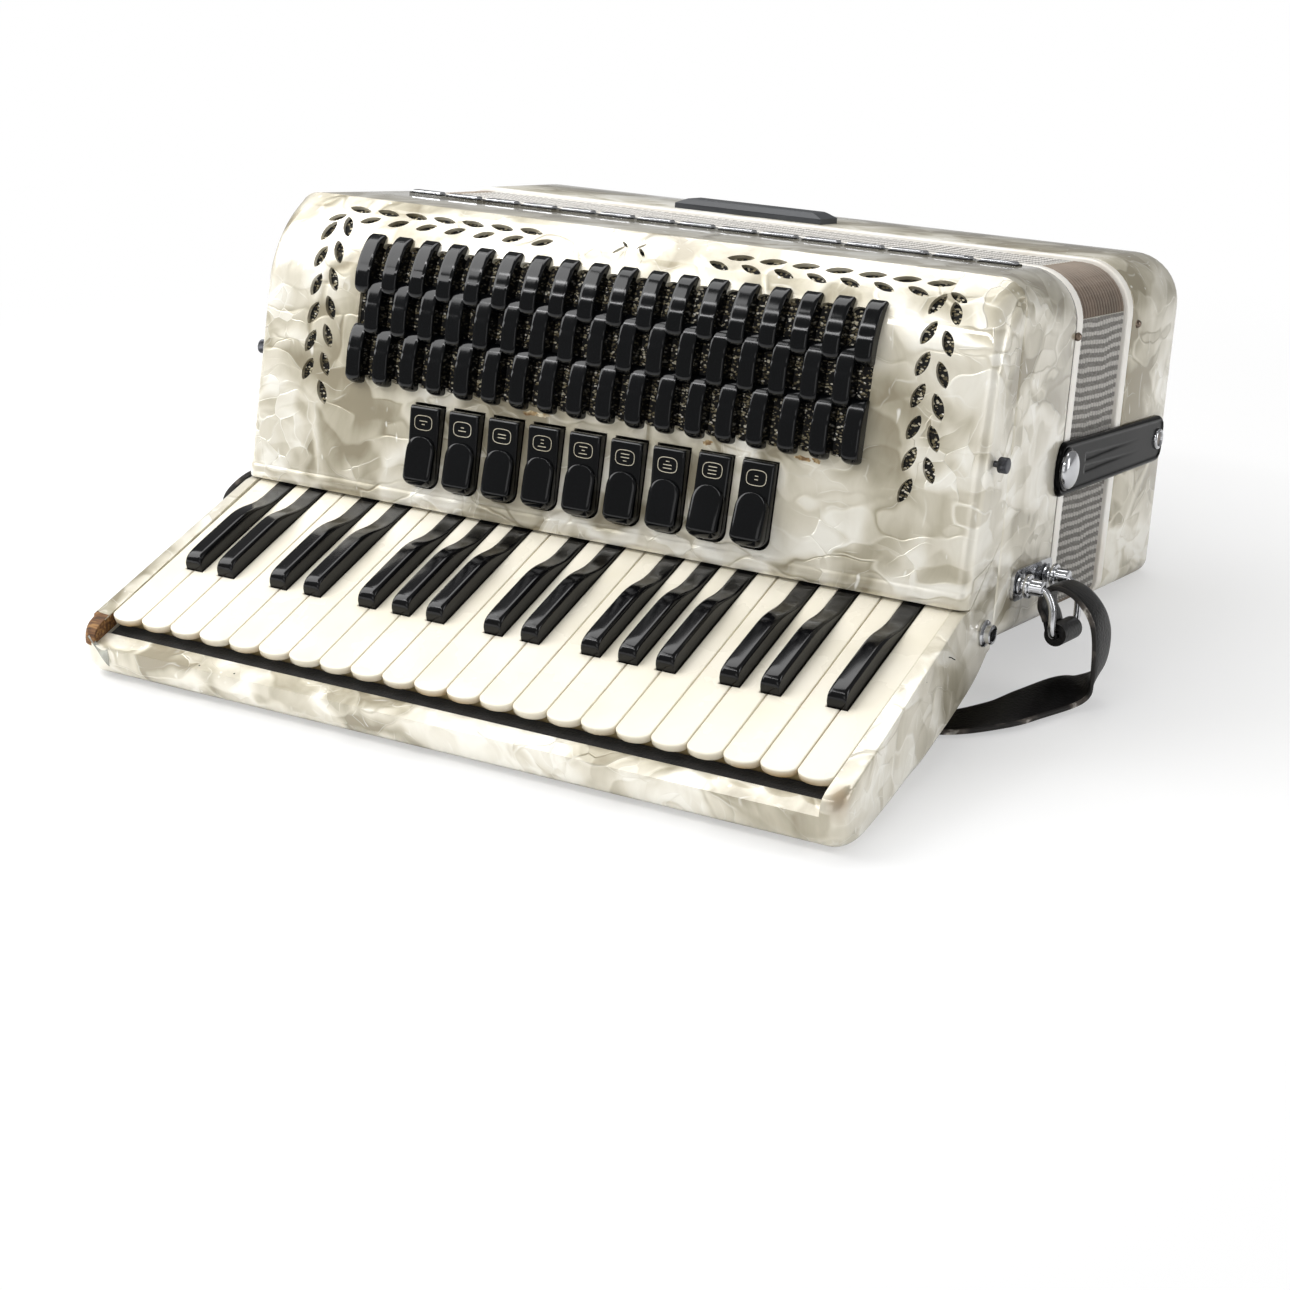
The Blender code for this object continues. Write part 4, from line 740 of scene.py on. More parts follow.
LEATHER = leather("black_leather", "#0a0909", "#221e1c", 0.34)
PATENT = moulded("black_patent_leather", "#050505", "#080808", 0.16, 0.08, Specular_IOR_Level=0.06)
PALE_EDGE = stained("cracked_strap_edge",
                    ((0.50, "#1c1917"), (0.60, "#57504a"), (0.68, "#e4dfd6")), 70.0, 0.7, 0.0006)


def felt():
    """Pressed wool: matt, with a nap that lightens it at a low angle and a fine uneven surface."""
    made, tree, shader = finish("black_wool_felt", "#0c0b0b", 0.95, Sheen_Weight=0.3,
                                Sheen_Roughness=0.5)
    place = add_node(tree, "TexCoord").outputs["Object"]
    nap = add_node(tree, "TexNoise", None, Vector=place, Scale=900.0, Detail=5.0).outputs["Fac"]
    tree.links.new(add_node(tree, "ValToRGB", {"stops": ((0.35, "#070606"), (0.7, "#1d1b19"))},
                            Fac=nap).outputs["Color"], shader.inputs["Base Color"])
    raised = add_node(tree, "Bump", None, Height=nap, Strength=0.5, Distance=0.0005)
    tree.links.new(raised.outputs["Normal"], shader.inputs["Normal"])
    return made


def broken_wood():
    """Spruce block under the celluloid: light brown with dark grain lines along the keyboard."""
    made, tree, shader = finish("spruce_block", "#a5713c", 0.75)
    place = add_node(tree, "TexCoord").outputs["Object"]
    stretch = add_node(tree, "Mapping", None, Vector=place, Scale=(1.0, 9.0, 9.0))
    grain = add_node(tree, "TexNoise", None, Vector=stretch.outputs[0], Scale=70.0,
                     Detail=6.0).outputs["Fac"]
    tree.links.new(add_node(tree, "ValToRGB",
                            {"stops": ((0.3, "#3b2412"), (0.5, "#6e4a27"), (0.7, "#a07844"))},
                            Fac=grain).outputs["Color"], shader.inputs["Base Color"])
    raised = add_node(tree, "Bump", None, Height=grain, Strength=0.6, Distance=0.0006)
    tree.links.new(raised.outputs["Normal"], shader.inputs["Normal"])
    return made


def lifted_flake():
    """A flake of clear celluloid: it lets light through, with a grey haze and a sharp gloss."""
    made, tree, shader = finish("clear_celluloid_flake", "#c5c6bb", 0.12, Transmission_Weight=0.55,
                                IOR=1.5)
    place = add_node(tree, "TexCoord").outputs["Object"]
    haze = add_node(tree, "TexNoise", None, Vector=place, Scale=180.0, Detail=4.0).outputs["Fac"]
    tree.links.new(add_node(tree, "ValToRGB", {"stops": ((0.35, "#9fa096"), (0.65, "#e6e7dd"))},
                            Fac=haze).outputs["Color"], shader.inputs["Base Color"])
    raised = add_node(tree, "Bump", None, Height=haze, Strength=0.4, Distance=0.0003)
    tree.links.new(raised.outputs["Normal"], shader.inputs["Normal"])
    return made


FLAKE = lifted_flake()
FELT = felt()
WOOD = broken_wood()
DARK_PLATE = moulded("dark_grey_plate", "#34373b", "#2a2c30", 0.35, 0.1)
INSIDE = leather("black_lining", "#0a0a0a", "#141312", 0.9)
print("finishes:", len(bpy.data.materials))

# %% [markdown]
# Sizes of the instrument in millimetres, the same as the CAD's. The width of one white key is the
# ruler of the whole instrument.

# %% Sizes
KEYS = 22
PITCH = 19.4
LENGTH = KEYS * PITCH
MIDDLE = LENGTH / 2
LEFT, RIGHT = -7.0, LENGTH + 7.0
TOP, BACK = 217.0, 33.0
SEAM, TREBLE_END = 157.7, 232.9
FRAMES = (233.2, 310.3)
FRAME_THICK = 8.0
BELLOWS_Y = (241.5, 310.0)
BASS, BASS_END = 318.6, 402.6
SLOPE = math.radians(24.9)
KEY_AHEAD = np.array([math.cos(SLOPE), math.sin(SLOPE)])
KEY_UP = np.array([-math.sin(SLOPE), math.cos(SLOPE)])


def on_keys(along, above):
    """(y, z) from a distance along the keys and above their top: a turn by the keys' slope."""
    along, above = np.asarray(along, float), np.asarray(above, float)
    return np.stack([along * math.cos(SLOPE) - above * math.sin(SLOPE),
                     along * math.sin(SLOPE) + above * math.cos(SLOPE)], axis=-1)


# %% [markdown]
# The body, the bellows and the bass section share one outline: a box with corners rounded more at
# the listener's side than at the player's. A loft carries it along y, and each edge is rounded by
# letting the inset follow a quarter circle.

# %% Rounded boxes
def box_outline(inset_by, top_round=28.0, back_round=10.0, steps=10):
    """(x, z) points round the box: four quarter circles, each drawn in by the inset."""
    quarter = np.linspace(0, np.pi / 2, steps + 1)
    outline = []
    for number, (x, z, radius, sx, sz) in enumerate((
        (RIGHT, TOP, top_round, 1, 1), (LEFT, TOP, top_round, -1, 1),
        (LEFT, BACK, back_round, -1, -1), (RIGHT, BACK, back_round, 1, -1),
    )):
        radius = max(radius - inset_by, 0.8)
        angle = quarter + number * np.pi / 2
        outline.append(np.stack([x - sx * (inset_by + radius) + radius * np.cos(angle),
                                 z - sz * (inset_by + radius) + radius * np.sin(angle)], axis=1))
    return np.concatenate(outline)


def box_loft(stations):
    """Loft through (y, inset, round of the front corners) rows."""
    sections = []
    for y, inset_by, top_round in stations:
        outline = box_outline(inset_by, top_round)
        sections.append(np.insert(outline, 1, y, axis=1))
    return loft(sections)


def edge_rows(start, end, radius, steps=5, rounds=(28.0, 28.0)):
    """Rows of y, inset and corner round; both rims are quarter circles of this radius."""
    angle = np.linspace(0, np.pi / 2, steps + 1)
    low = [(start + radius * (1 - math.cos(a)), radius * (1 - math.sin(a))) for a in angle]
    high = [(end - radius * (1 - math.cos(a)), radius * (1 - math.sin(a))) for a in angle[::-1]]
    return [(y, inset_by, rounds[0] + (rounds[1] - rounds[0]) * float((y - start) / (end - start)))
            for y, inset_by in low + high]


rows = edge_rows(SEAM, TREBLE_END, 3.0, 6, (15.0, 28.0))
treble = make("treble_case", box_loft(rows), PEARL, "treble_section")
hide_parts("treble_body")
for name, start, node, body in (
    ("treble_bellows_rim", FRAMES[0], "treble_bellows_frame", "treble_section"),
    ("bass_bellows_rim", FRAMES[1], "bass_bellows_frame", "bass_section"),
):
    rim = make(name, box_loft(edge_rows(start, start + FRAME_THICK, 1.2)), FRAME_LOOK, body)
    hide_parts(node)

seam_path = np.insert(box_outline(0.75, 15.0), 1, SEAM - 0.1, axis=1)
seam_path = seam_path[seam_path[:, 2] > 88.0]
make("seam_glue", tube(seam_path, 0.75, 8), SEAM_LOOK, "treble_section")
gasket = box_loft([(TREBLE_END - 1.6, 1.5, 28.0), (TREBLE_END - 1.0, 0.7, 28.0),
                   (TREBLE_END + 0.5, 0.7, 28.0), (TREBLE_END + 1.0, 1.5, 28.0)])
make("bellows_gasket", gasket, FELT, "treble_section")
print("case:", len(treble.data.vertices), "points")

# %% [markdown]
# The bass section has the hand's recess cut out of its end and back, with a black lining. The cut
# is a Boolean, because a recess that leaves through two sides at once has no simple grid.

# %% Bass section
RECESS_Y, RECESS_TOP = BASS_END - 50.0, BACK + 82.0


def prism(outline, low, high):
    """A (y, z) outline drawn out along x."""
    outline = np.asarray(outline, float)
    return loft([np.insert(outline, 0, x, axis=1) for x in (low, high)])


def bass_rows():
    """A small round at the bellows side, and a large one at the end, a little inside the box."""
    angle = np.linspace(0, np.pi / 2, 12)
    small, large, inside = 1.2, 12, 0.2
    start = [(BASS + small * (1 - math.cos(a)), small * (1 - math.sin(a)), 28.0)
             for a in angle[::3]]
    last = BASS_END - inside
    end = [(last - large * (1 - math.cos(a)), inside + large * (1 - math.sin(a)), 28.0)
           for a in angle[::-1]]
    return start + end


bass = make("bass_case", box_loft(bass_rows()), PEARL, "bass_section")
recess = [(RECESS_Y, BACK - 20), (BASS_END + 20, BACK - 20), (BASS_END + 20, RECESS_TOP),
          (RECESS_Y + 6, RECESS_TOP), (RECESS_Y, RECESS_TOP - 6)]
cut(bass, [prism(recess, LEFT + 20, RIGHT - 20)])
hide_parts("bass_body")
lining_faces = prism([(RECESS_Y - 0.1, BACK + 2.5), (RECESS_Y + 0.25, BACK + 2.5),
                      (RECESS_Y + 0.25, RECESS_TOP - 7), (RECESS_Y - 0.1, RECESS_TOP - 7)],
                     LEFT + 20.5, RIGHT - 20.5)
make("recess_lining", lining_faces, INSIDE, "bass_section")

plate_rows = []
for height, inset_by in ((-1.0, 0.0), (3.0, 0.0), (5.4, 2.4), (6.0, 3.2)):
    half = 48.0 - inset_by * 2.2
    corners = np.array([(192 - half, BASS + 4 + inset_by), (192 + half, BASS + 4 + inset_by),
                        (192 + half, BASS + 26 - inset_by), (192 - half, BASS + 26 - inset_by)])
    plate_rows.append(np.insert(corners, 2, TOP + height, axis=1))
make("dark_air_plate", loft(plate_rows), DARK_PLATE, "bass_section", sharp=20)
print("bass section: recess from", RECESS_Y, "to", BASS_END)

# %% [markdown]
# The grille cover is a hood. Its profile is a lip, a leaning flat, and one arc that rolls back to
# the seam. A point of the panel is given by u, the length up the profile, and v, how far it
# stands off; the same function then places louvres, register tabs and the leaves of the laurel.

# %% Profile of the panel
FOOT = np.array([118.6, 66.8])
KNEE = np.array([129.5, 172.0])
FLAT = float(np.linalg.norm(KNEE - FOOT))
UP = (KNEE - FOOT) / FLAT
OUT = np.array([-UP[1], UP[0]])
CHORD = np.array([SEAM - 0.3, TOP]) - KNEE
BEND = math.acos(float(CHORD @ UP) / float(np.linalg.norm(CHORD)))
ARC = float(np.linalg.norm(CHORD)) / (2 * math.sin(BEND))
ARC_LENGTH = 2 * BEND * ARC
CENTRE = KNEE - OUT * ARC


def panel(u, v=0.0):
    """(y, z) at length u and height v: straight along UP first, then round the arc's centre."""
    u, v = np.broadcast_arrays(np.asarray(u, float), np.asarray(v, float))
    straight = FOOT + u[..., None] * UP + v[..., None] * OUT
    angle = (u - FLAT) / ARC
    out = np.cos(angle)[..., None] * OUT + np.sin(angle)[..., None] * UP
    rolled = CENTRE + out * (ARC + v)[..., None]
    return np.where((u <= FLAT)[..., None], straight, rolled)


U_TABLE = np.linspace(0, FLAT + ARC_LENGTH, 2000)
Z_TABLE = panel(U_TABLE)[:, 1]


def panel_at(z):
    """Length u at which the panel reaches this height."""
    return float(np.interp(z, Z_TABLE, U_TABLE))


def placed(x, u, v):
    """Body points from x, u and v arrays."""
    yz = panel(u, v)
    x = np.broadcast_to(np.asarray(x, float), yz.shape[:-1])
    return np.concatenate([x[..., None], yz], axis=-1)


# %% [markdown]
# The hood is lofted across the keyboard. Near each end its skin sinks along a quarter circle, 14
# mm at the seam and 6 mm at the panel, so that front and end walls are one rounded shell.

# %% Hood
WALL, ROUND, EDGE = 2.5, 14.0, 6.0


def sink(radius, inward, wall):
    """How deep the skin lies: a quarter circle of the radius, seen at the distance inward."""
    radius = radius - wall
    short = max(radius - inward, 0.0)
    return wall + radius - math.sqrt(radius ** 2 - short ** 2)


def hood_section(inward, x, wall):
    """One outline of the hood: lip, flat, arc to the seam, and the way back below."""
    edge = sink(EDGE, inward, wall)
    share = np.array([0.0, 0.12, 0.25, 0.4, 0.55, 0.68, 0.78, 0.86, 0.93, 1.0])
    swell = np.array([-0.2, 0.55, 0.9, 1.0, 1.0, 0.85, 0.45, -0.15, -0.55, -0.35])
    lip = np.stack([FOOT[0] - 0.6 * swell + edge, 57.8 + 9.0 * share], axis=1)
    flat = panel(np.array([1.2, 6, 40, 80, FLAT * 0.98]), -edge)
    mix = np.arange(18) / 18
    arc = panel(FLAT + ARC_LENGTH * mix,
                [-sink(EDGE + (ROUND - EDGE) * m, inward, wall) for m in mix])
    arc[:, 0] = np.minimum(arc[:, 0], SEAM - 0.6)
    top = TOP - sink(ROUND, inward, wall)
    ending = [(SEAM - 0.3, top)]
    if wall:
        ending += [(SEAM + 9, top), (SEAM + 9, 0.0), (lip[0, 0], 0.0)]
    else:
        ending += [(SEAM - 0.3, 57.8 + (31.4 * math.tan(math.radians(44)))), (126.0, 57.8)]
    return np.insert(np.vstack([lip, flat, arc, ending]), 0, x, axis=1)


def hood(wall):
    """Sections from one end to the other, closer together where the skin sinks."""
    part = 1 - np.cos(np.linspace(0, np.pi / 2, 12))
    inward = (ROUND - wall) * part
    low = [hood_section(i, LEFT + wall + i, wall) for i in inward]
    high = [hood_section(i, RIGHT - wall - i, wall) for i in inward[::-1]]
    return loft(low + high)


def panel_cutter(outline, depth=5.0, height=6.0):
    """A cutter from an (x, u) outline, standing square to the panel at the outline's middle."""
    outline = np.asarray(outline, float)
    middle = outline[:, 1].mean()
    base, near = panel(middle), panel(middle + 0.1)
    up = (near - base) / 0.1
    out = np.array([-up[1], up[0]])
    sections = []
    for v in (-depth, height):
        yz = base + (outline[:, 1] - middle)[:, None] * up + v * out
        sections.append(np.column_stack([outline[:, 0], yz]))
    return loft(sections)


def leaf(x, u, angle, length, width):
    """A pointed leaf: half width times the sine of the place along it, to the power 0.65."""
    t = np.linspace(0, 1, 13)
    half = width / 2 * np.sin(np.pi * t) ** 0.65
    along = length * (t - 0.5)
    along, across = np.concatenate([along, along[-2:0:-1]]), np.concatenate([half, -half[-2:0:-1]])
    return panel_cutter(np.stack([x + across * math.cos(angle) + along * math.sin(angle),
                                  u + along * math.cos(angle) - across * math.sin(angle)], axis=1))


STEM = MIDDLE + 3.2
STEM_HALF = 183.0
LEAF_TOP = panel_at(208.8)
LEAF_WIDTH, LEAF_TOP_WIDTH, LEAF_SIDE_LENGTH = 6.2, 4.4, 13.95
SIDE_STEP, SIDE_SPLIT, SIDE_TILT = 15.6, 5.6, math.radians(24)
TOP_STEP, TOP_SPLIT, ALONG_TOP = 18.6, 3.3, math.pi / 2


def laurel():
    """Pairs of leaves along a stem that runs from the middle over the top and down each side."""
    cutters = []
    for side in (-1, 1):
        stem = STEM + side * STEM_HALF
        for k in range(7):
            u = LEAF_TOP - 9 - SIDE_STEP * k
            if k < 6:
                outer = stem + side * SIDE_SPLIT
                cutters.append(leaf(outer, u - 4, -side * SIDE_TILT, LEAF_SIDE_LENGTH, LEAF_WIDTH))
            inner = stem - side * SIDE_SPLIT
            cutters.append(leaf(inner, u, side * SIDE_TILT, LEAF_SIDE_LENGTH, LEAF_WIDTH))
        top_leaves = [(stem + side * 4, LEAF_TOP - 4, 0.45, 11.6)]
        for k in range(7):
            x = stem - side * (14 + TOP_STEP * k)
            top_leaves.append((x - side * 4, LEAF_TOP - TOP_SPLIT, 0.3, 13.2))
            top_leaves.append((x + side * 6, LEAF_TOP + TOP_SPLIT, -0.12, 15.5))
        for x, u, lean, length in top_leaves:
            cutters.append(leaf(x, u, ALONG_TOP + side * lean, length, LEAF_TOP_WIDTH))
    for side in (-1, 1):
        cutters.append(leaf(STEM + side * 7, LEAF_TOP - 1.5, ALONG_TOP + side * 0.8, 8.0, 2.0))
        cutters.append(leaf(STEM + side * 5, LEAF_TOP + 2.6, ALONG_TOP - side * 0.7, 6.0, 1.6))
    return cutters


# %% [markdown]
# Under the louvres the cover is open. In the gaps of the upper and the lower row the opening ends
# in a small arch, so the cutter is one wide window and a round-ended slot for each of those gaps.

# %% Openings of the cover
BAR_PITCH, BAR_WIDTH = 17.755, 9.4
ROWS = ((168.0, 199.5, 18), (146.0, 177.0, 17), (119.5, 152.0, 18))
TAB_PITCH, TAB_LENGTH = 25.3, 44.0
TABS, FIRST_PRESSED = 9, 7
TAB_U = float((70.0 - FOOT[1]) / UP[1])


def row_x(count):
    """Middles of a row of louvres."""
    return MIDDLE + BAR_PITCH * (np.arange(count) - (count - 1) / 2)


def tab_x(k):
    """Middle of a register tab."""
    return MIDDLE + TAB_PITCH * (k - (TABS - 1) / 2)


def slot_outline(x, low, high, half, arch_low, arch_high):
    """(x, u) outline of a slot whose ends are arches of the given rise."""
    angle = np.linspace(0, np.pi, 9)
    upper = np.stack([x + half * np.cos(angle),
                      high - arch_high + arch_high * np.sin(angle) ** 0.7], axis=1)
    lower = np.stack([x - half * np.cos(angle), low + arch_low - arch_low * np.sin(angle) ** 0.7],
                     axis=1)
    return np.vstack([upper, lower])


def window():
    """The field under the louvres: a slab that follows the panel's curve."""
    half = BAR_PITCH * 8.5 + BAR_WIDTH / 2 - 0.4
    u = np.linspace(panel_at(127.0), panel_at(190.0), 16)
    outline = np.vstack([panel(u, 12.0), panel(u[::-1], -3.6)])
    return prism(outline, MIDDLE - half, MIDDLE + half)


def gap_slots():
    """Arched ends of the gaps between louvres, above and below the field."""
    gaps = row_x(17)
    upper = [panel_cutter(slot_outline(x, panel_at(186.0), panel_at(196.0), 4.2, 0.4, 3.0))
             for x in gaps]
    lower = [panel_cutter(slot_outline(x, panel_at(122.2), panel_at(129.0), 4.2, 2.4, 0.4))
             for x in gaps]
    return upper + lower


def tab_openings():
    """Square at the upper end, and round at the lower corners like the tabs themselves."""
    angle = np.linspace(0, np.pi / 2, 7)
    right_corner = np.stack([10.1 - 6.2 * (1 - np.sin(angle)), 5.2 - 6.2 * np.cos(angle)], axis=1)
    left_corner = right_corner[::-1] * [-1, 1]
    outline = np.vstack([left_corner, right_corner, [[10.1, 45.0], [-10.1, 45.0]]])
    return [panel_cutter(outline + [tab_x(k), TAB_U], 9.0, 9.0) for k in range(TABS)]


cover = make("grille_hood", hood(0.0), PEARL, "treble_section")
cut(cover, [hood(WALL)])
cut(cover, [window()] + tab_openings() + laurel())
cut(cover, gap_slots())
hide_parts("grille_cover")
print("grille cover:", len(cover.data.polygons), "faces")

# %% [markdown]
# Behind the openings lies the gauze: a curved sheet on the inside of the panel, and a strip
# down each side.

# %% Gauze
def sheet_form(x_low, x_high, u_low, u_high, v, thick, columns=60, rows_of=40):
    """A curved board: a grid over x and u at two heights v, closed round its rim."""
    u = np.linspace(u_low, u_high, rows_of)
    loop = np.vstack([placed(0.0, u, v), placed(0.0, u[::-1], v - thick)])
    sections = []
    for x in np.linspace(x_low, x_high, columns):
        section = loop.copy()
        section[:, 0] = x
        sections.append(section)
    return loft(sections)


low_edge = panel_at(119.5) - 4
sheets = [sheet_form(STEM - 197, STEM + 197, low_edge, LEAF_TOP + 6, -2.8, 1.4)]
for side in (-1, 1):
    x = STEM + side * STEM_HALF
    sheets.append(sheet_form(x - 14, x + 14, LEAF_TOP - 114, low_edge - 0.2, -2.8, 1.4, 6, 8))
make("grille_gauze", together(sheets), GAUZE, "treble_section", weld=1e-7)

# %% [markdown]
# A louvre is a black bar whose front is carried along the panel. From below: a foot like a
# quarter circle, a long slightly swelling face, a crease with a small step, and a convex curve
# back to the panel. In the upper row the crease is low and the curve long; in the other two it is
# higher up. Towards the sides the face is rounded off and the foot is drawn up, so its plan is
# rounded too.

# %% Louvres
LOUVRE_RISE = 7.0


def louvre_profile(crease, foot):
    """(part of the run, rise) arrays: quarter circle, swelling face, step, quarter ellipse."""
    turn = np.linspace(0, np.pi / 2, 8)
    foot_part, foot_rise = foot * (1 - np.cos(turn)), 0.12 + 0.80 * np.sin(turn)
    face_part = np.linspace(foot, crease - 0.012, 6)[1:]
    face_rise = 0.92 + 0.08 * np.sin(np.pi / 2 * (face_part - foot) / (crease - foot))
    bow = np.linspace(0, 1, 10)
    back_part = crease + 0.012 + (0.988 - crease) * bow
    back_rise = 0.10 + 0.85 * np.sqrt(1 - (0.985 * bow) ** 1.7)
    part = np.concatenate([[0.0], foot_part, face_part, back_part, [1.0]])
    rise = np.concatenate([[-0.2], foot_rise, face_rise, back_rise, [-0.2]])
    return part, rise


def louvre(x, bottom, top, crease):
    """The profile repeated at stations across the bar, lowered and drawn up near its sides."""
    low, high = panel_at(bottom), panel_at(top)
    part, rise = louvre_profile(crease, 0.13)
    across = np.array([-1, -1, -0.985, -0.93, -0.84, -0.6, -0.3, 0, 0.3, 0.6, 0.84, 0.93, 0.985, 1,
                       1.0])
    drop = 0.6 * np.clip((np.abs(across) - 0.84) / 0.16, 0, 1) ** 2.0
    drop[[0, -1]] = 1.6
    draw = 2.6 * (1 - np.sqrt(1 - 0.98 * across ** 2)) ** 1.3
    sections = []
    for a, d, pull in zip(across, drop, draw):
        ease = np.clip(1 - part / 0.45, 0, 1)
        u = low + (high - low) * part + pull * ease - 0.5 * d * (part > 0.9)
        v = np.maximum(LOUVRE_RISE * rise - d, -1.0)
        front = placed(x + a * BAR_WIDTH / 2, u, v)
        behind = placed(x + a * BAR_WIDTH / 2, np.linspace(high, low + pull, 4), -2.7)
        sections.append(np.vstack([front, behind]))
    return loft(sections)


bars = []
for (bottom, top, count), crease in zip(ROWS, (0.38, 0.56, 0.58)):
    bars += [louvre(x, bottom, top, crease) for x in row_x(count)]
louvres = make("black_louvres", together(bars), BLACK, "treble_section", sharp=38, weld=1e-7)
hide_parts("grille_louvres")
print("louvres:", len(bars), "bars,", len(louvres.data.polygons), "faces")

# %% [markdown]
# Glue stains show under some of the lower louvres: thin irregular patches on the panel.

# %% Stains
def blot(x, u, half_x, half_u, seed):
    """A flat patch on the panel: an ellipse whose radius wanders with three sines of the angle."""
    angle = np.linspace(0, 2 * np.pi, 40, endpoint=False)
    wander = 1 + 0.22 * np.sin(2 * angle + seed) + 0.14 * np.sin(5 * angle + 2 * seed)
    wander += 0.08 * np.sin(9 * angle + seed)
    rows = [placed(x + half_x * f * wander * np.cos(angle),
                   u + half_u * f * wander * np.sin(angle), v)
            for f, v in ((1.0, -0.1), (0.97, 0.03), (0.5, 0.06), (0.02, 0.06))]
    return loft(rows)


low_u = panel_at(ROWS[2][0])
blots = [blot(float(row_x(18)[k]) + shift, low_u - 0.9, wide, 1.3, k) for k, shift, wide in
         ((6, 6.5, 5.0), (7, -3.0, 3.5), (12, 7.0, 3.0), (15, 8.0, 4.2), (16, -2.0, 2.4))]
make("glue_stains", together(blots), STAIN, "treble_section", weld=1e-8)
print("stains:", len(blots))

# %% [markdown]
# A register tab rocks in its slot. It is a block with a rounded top and, on its lower half, a
# paddle for the finger: arched at its upper end, high and square-shouldered at its lower end. Two
# of the nine are pressed, so they rock the other way. The inlaid frame on each holds a plain
# mark.

# %% Register tabs
TAB_AXIS = FOOT + UP * (TAB_U + TAB_LENGTH / 2) - OUT * 3.0
TILT = math.radians(3.5)


def on_tab(k, across, u, v):
    """Body points on tab k: its own x, u and v, then the rocking turn about its axis."""
    turn = -TILT if k >= FIRST_PRESSED else TILT
    across, u, v = np.broadcast_arrays(across, u, v)
    yz = FOOT + (TAB_U + u)[..., None] * UP + v[..., None] * OUT - TAB_AXIS
    y = yz[..., 0] * math.cos(turn) - yz[..., 1] * math.sin(turn) + TAB_AXIS[0]
    z = yz[..., 0] * math.sin(turn) + yz[..., 1] * math.cos(turn) + TAB_AXIS[1]
    return np.stack([tab_x(k) + across, y, z], axis=-1)


def arched(k, u, half, low, high, power=5.0, count=17):
    """Sections along u: a superellipse of half the width and from the low to the high v."""
    angle = np.linspace(0, np.pi, count)
    across = np.sign(np.cos(angle)) * np.abs(np.cos(angle)) ** (2 / power)
    rise = np.sin(angle) ** (2 / power)
    u, half, low, high = (np.asarray(a, float)[:, None] for a in (u, half, low, high))
    top = on_tab(k, half * across, u + 0 * across, low + (high - low) * rise)
    return loft(top)


def round_plan(u, half, corner):
    """Half width at u of an end whose two corners, seen from above, are quarter circles."""
    return half - corner * (1 - np.sqrt(1 - np.clip(1 - u / corner, 0, 0.97) ** 2))


def tab_block(k):
    """The tab's body: rounded at its foot, flat on top, and falling off at its upper end."""
    u = np.array([0.0, 0.15, 0.5, 1.0, 1.8, 3.0, 4.5, 6.2, 14, 26, 40, 42.2, 43.2, 43.8, 44.0])
    high = np.array([-0.2, 0.6, 1.5, 2.3, 3.1, 3.7, 4.0, 4.1, 4.2, 4.55, 4.95, 4.9, 4.6, 3.9, 3.0])
    return arched(k, u, round_plan(u, 9.6, 6.0), 0 * u - 5.5, high, 14.0, 25)


def paddle(k):
    """The raised part: a rounded overhanging foot, a long flat crown and a half circle."""
    t = np.linspace(0, 1, 13)
    lift, reach = np.sin(t * np.pi / 2), 1 - np.cos(t * np.pi / 2)
    foot, arch = 0.2 + 5.2 * reach, 19.0 + 8.6 * lift
    u = np.concatenate([foot, [11.0, 16.0], arch])
    half = round_plan(u, 9.3, 6.0)
    half[-13:] = 9.3 * np.maximum(np.cos(t * np.pi / 2), 0.02) ** 0.68
    crown = 9.35 - 0.155 * np.clip(u - 7.5, 0, None)
    fall = np.concatenate([(1 - lift) * 6.0, [0, 0], 0 * t])
    return arched(k, u, half, 0 * u + 1.2, crown - fall, 6.5, 25)


def ribbon(k, path, width, height):
    """A flat closed or open line of inlay on a tab, from a path of (across, u) points."""
    path = np.asarray(path, float)
    along = np.gradient(path, axis=0)
    along /= np.linalg.norm(along, axis=1)[:, None]
    side = np.stack([-along[:, 1], along[:, 0]], axis=1) * width / 2
    v = 4.35 + (path[:, 1] - 26) * 0.022 + 0.28
    left, right_side = path + side, path - side
    loops = [on_tab(k, p[:, 0], p[:, 1], v + h) for p, h in
             ((left, height), (right_side, height), (right_side, -0.3), (left, -0.3))]
    return loft(np.stack(loops, axis=1))


def ring_path(half_x, half_u, middle_u, corner=3.2, count=49):
    """A rounded square: a superellipse walked once round."""
    angle = np.linspace(0, 2 * np.pi, count)
    return np.stack([half_x * np.sign(np.cos(angle)) * np.abs(np.cos(angle)) ** (2 / corner),
                     middle_u + half_u * np.sign(np.sin(angle))
                     * np.abs(np.sin(angle)) ** (2 / corner)], axis=1)


def mark(k):
    """A generic sign in the frame: two or three bars, each long or short, different on each tab.
    """
    shapes = []
    bars_of = ((1, 0), (0, 1), (1, 1), (0, 0, 1), (1, 0, 1), (1, 1, 0), (0, 1, 1), (1, 1, 1),
               (0, 0))[k]
    for row, long_bar in enumerate(bars_of):
        u = 35.2 - 1.8 * row + (len(bars_of) - 1) * 0.9
        half = 2.5 if long_bar else 1.0
        shapes.append(ribbon(k, [(-half, u), (0, u), (half, u)], 0.42, 0.03))
    return shapes


for k in range(TABS):
    body = f"register_tab_{k + 1}"
    tab = make(f"register_{k + 1}", together([tab_block(k), paddle(k)]), BLACK, body, sharp=60,
               weld=1e-7)
    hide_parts(body)
    frame_line = ribbon(k, ring_path(5.6, 3.9, 35.2), 0.36, 0.03)
    make(f"register_{k + 1}_inlay", together([frame_line] + mark(k)), SIGN, body, weld=1e-8)
print("register tabs:", TABS)

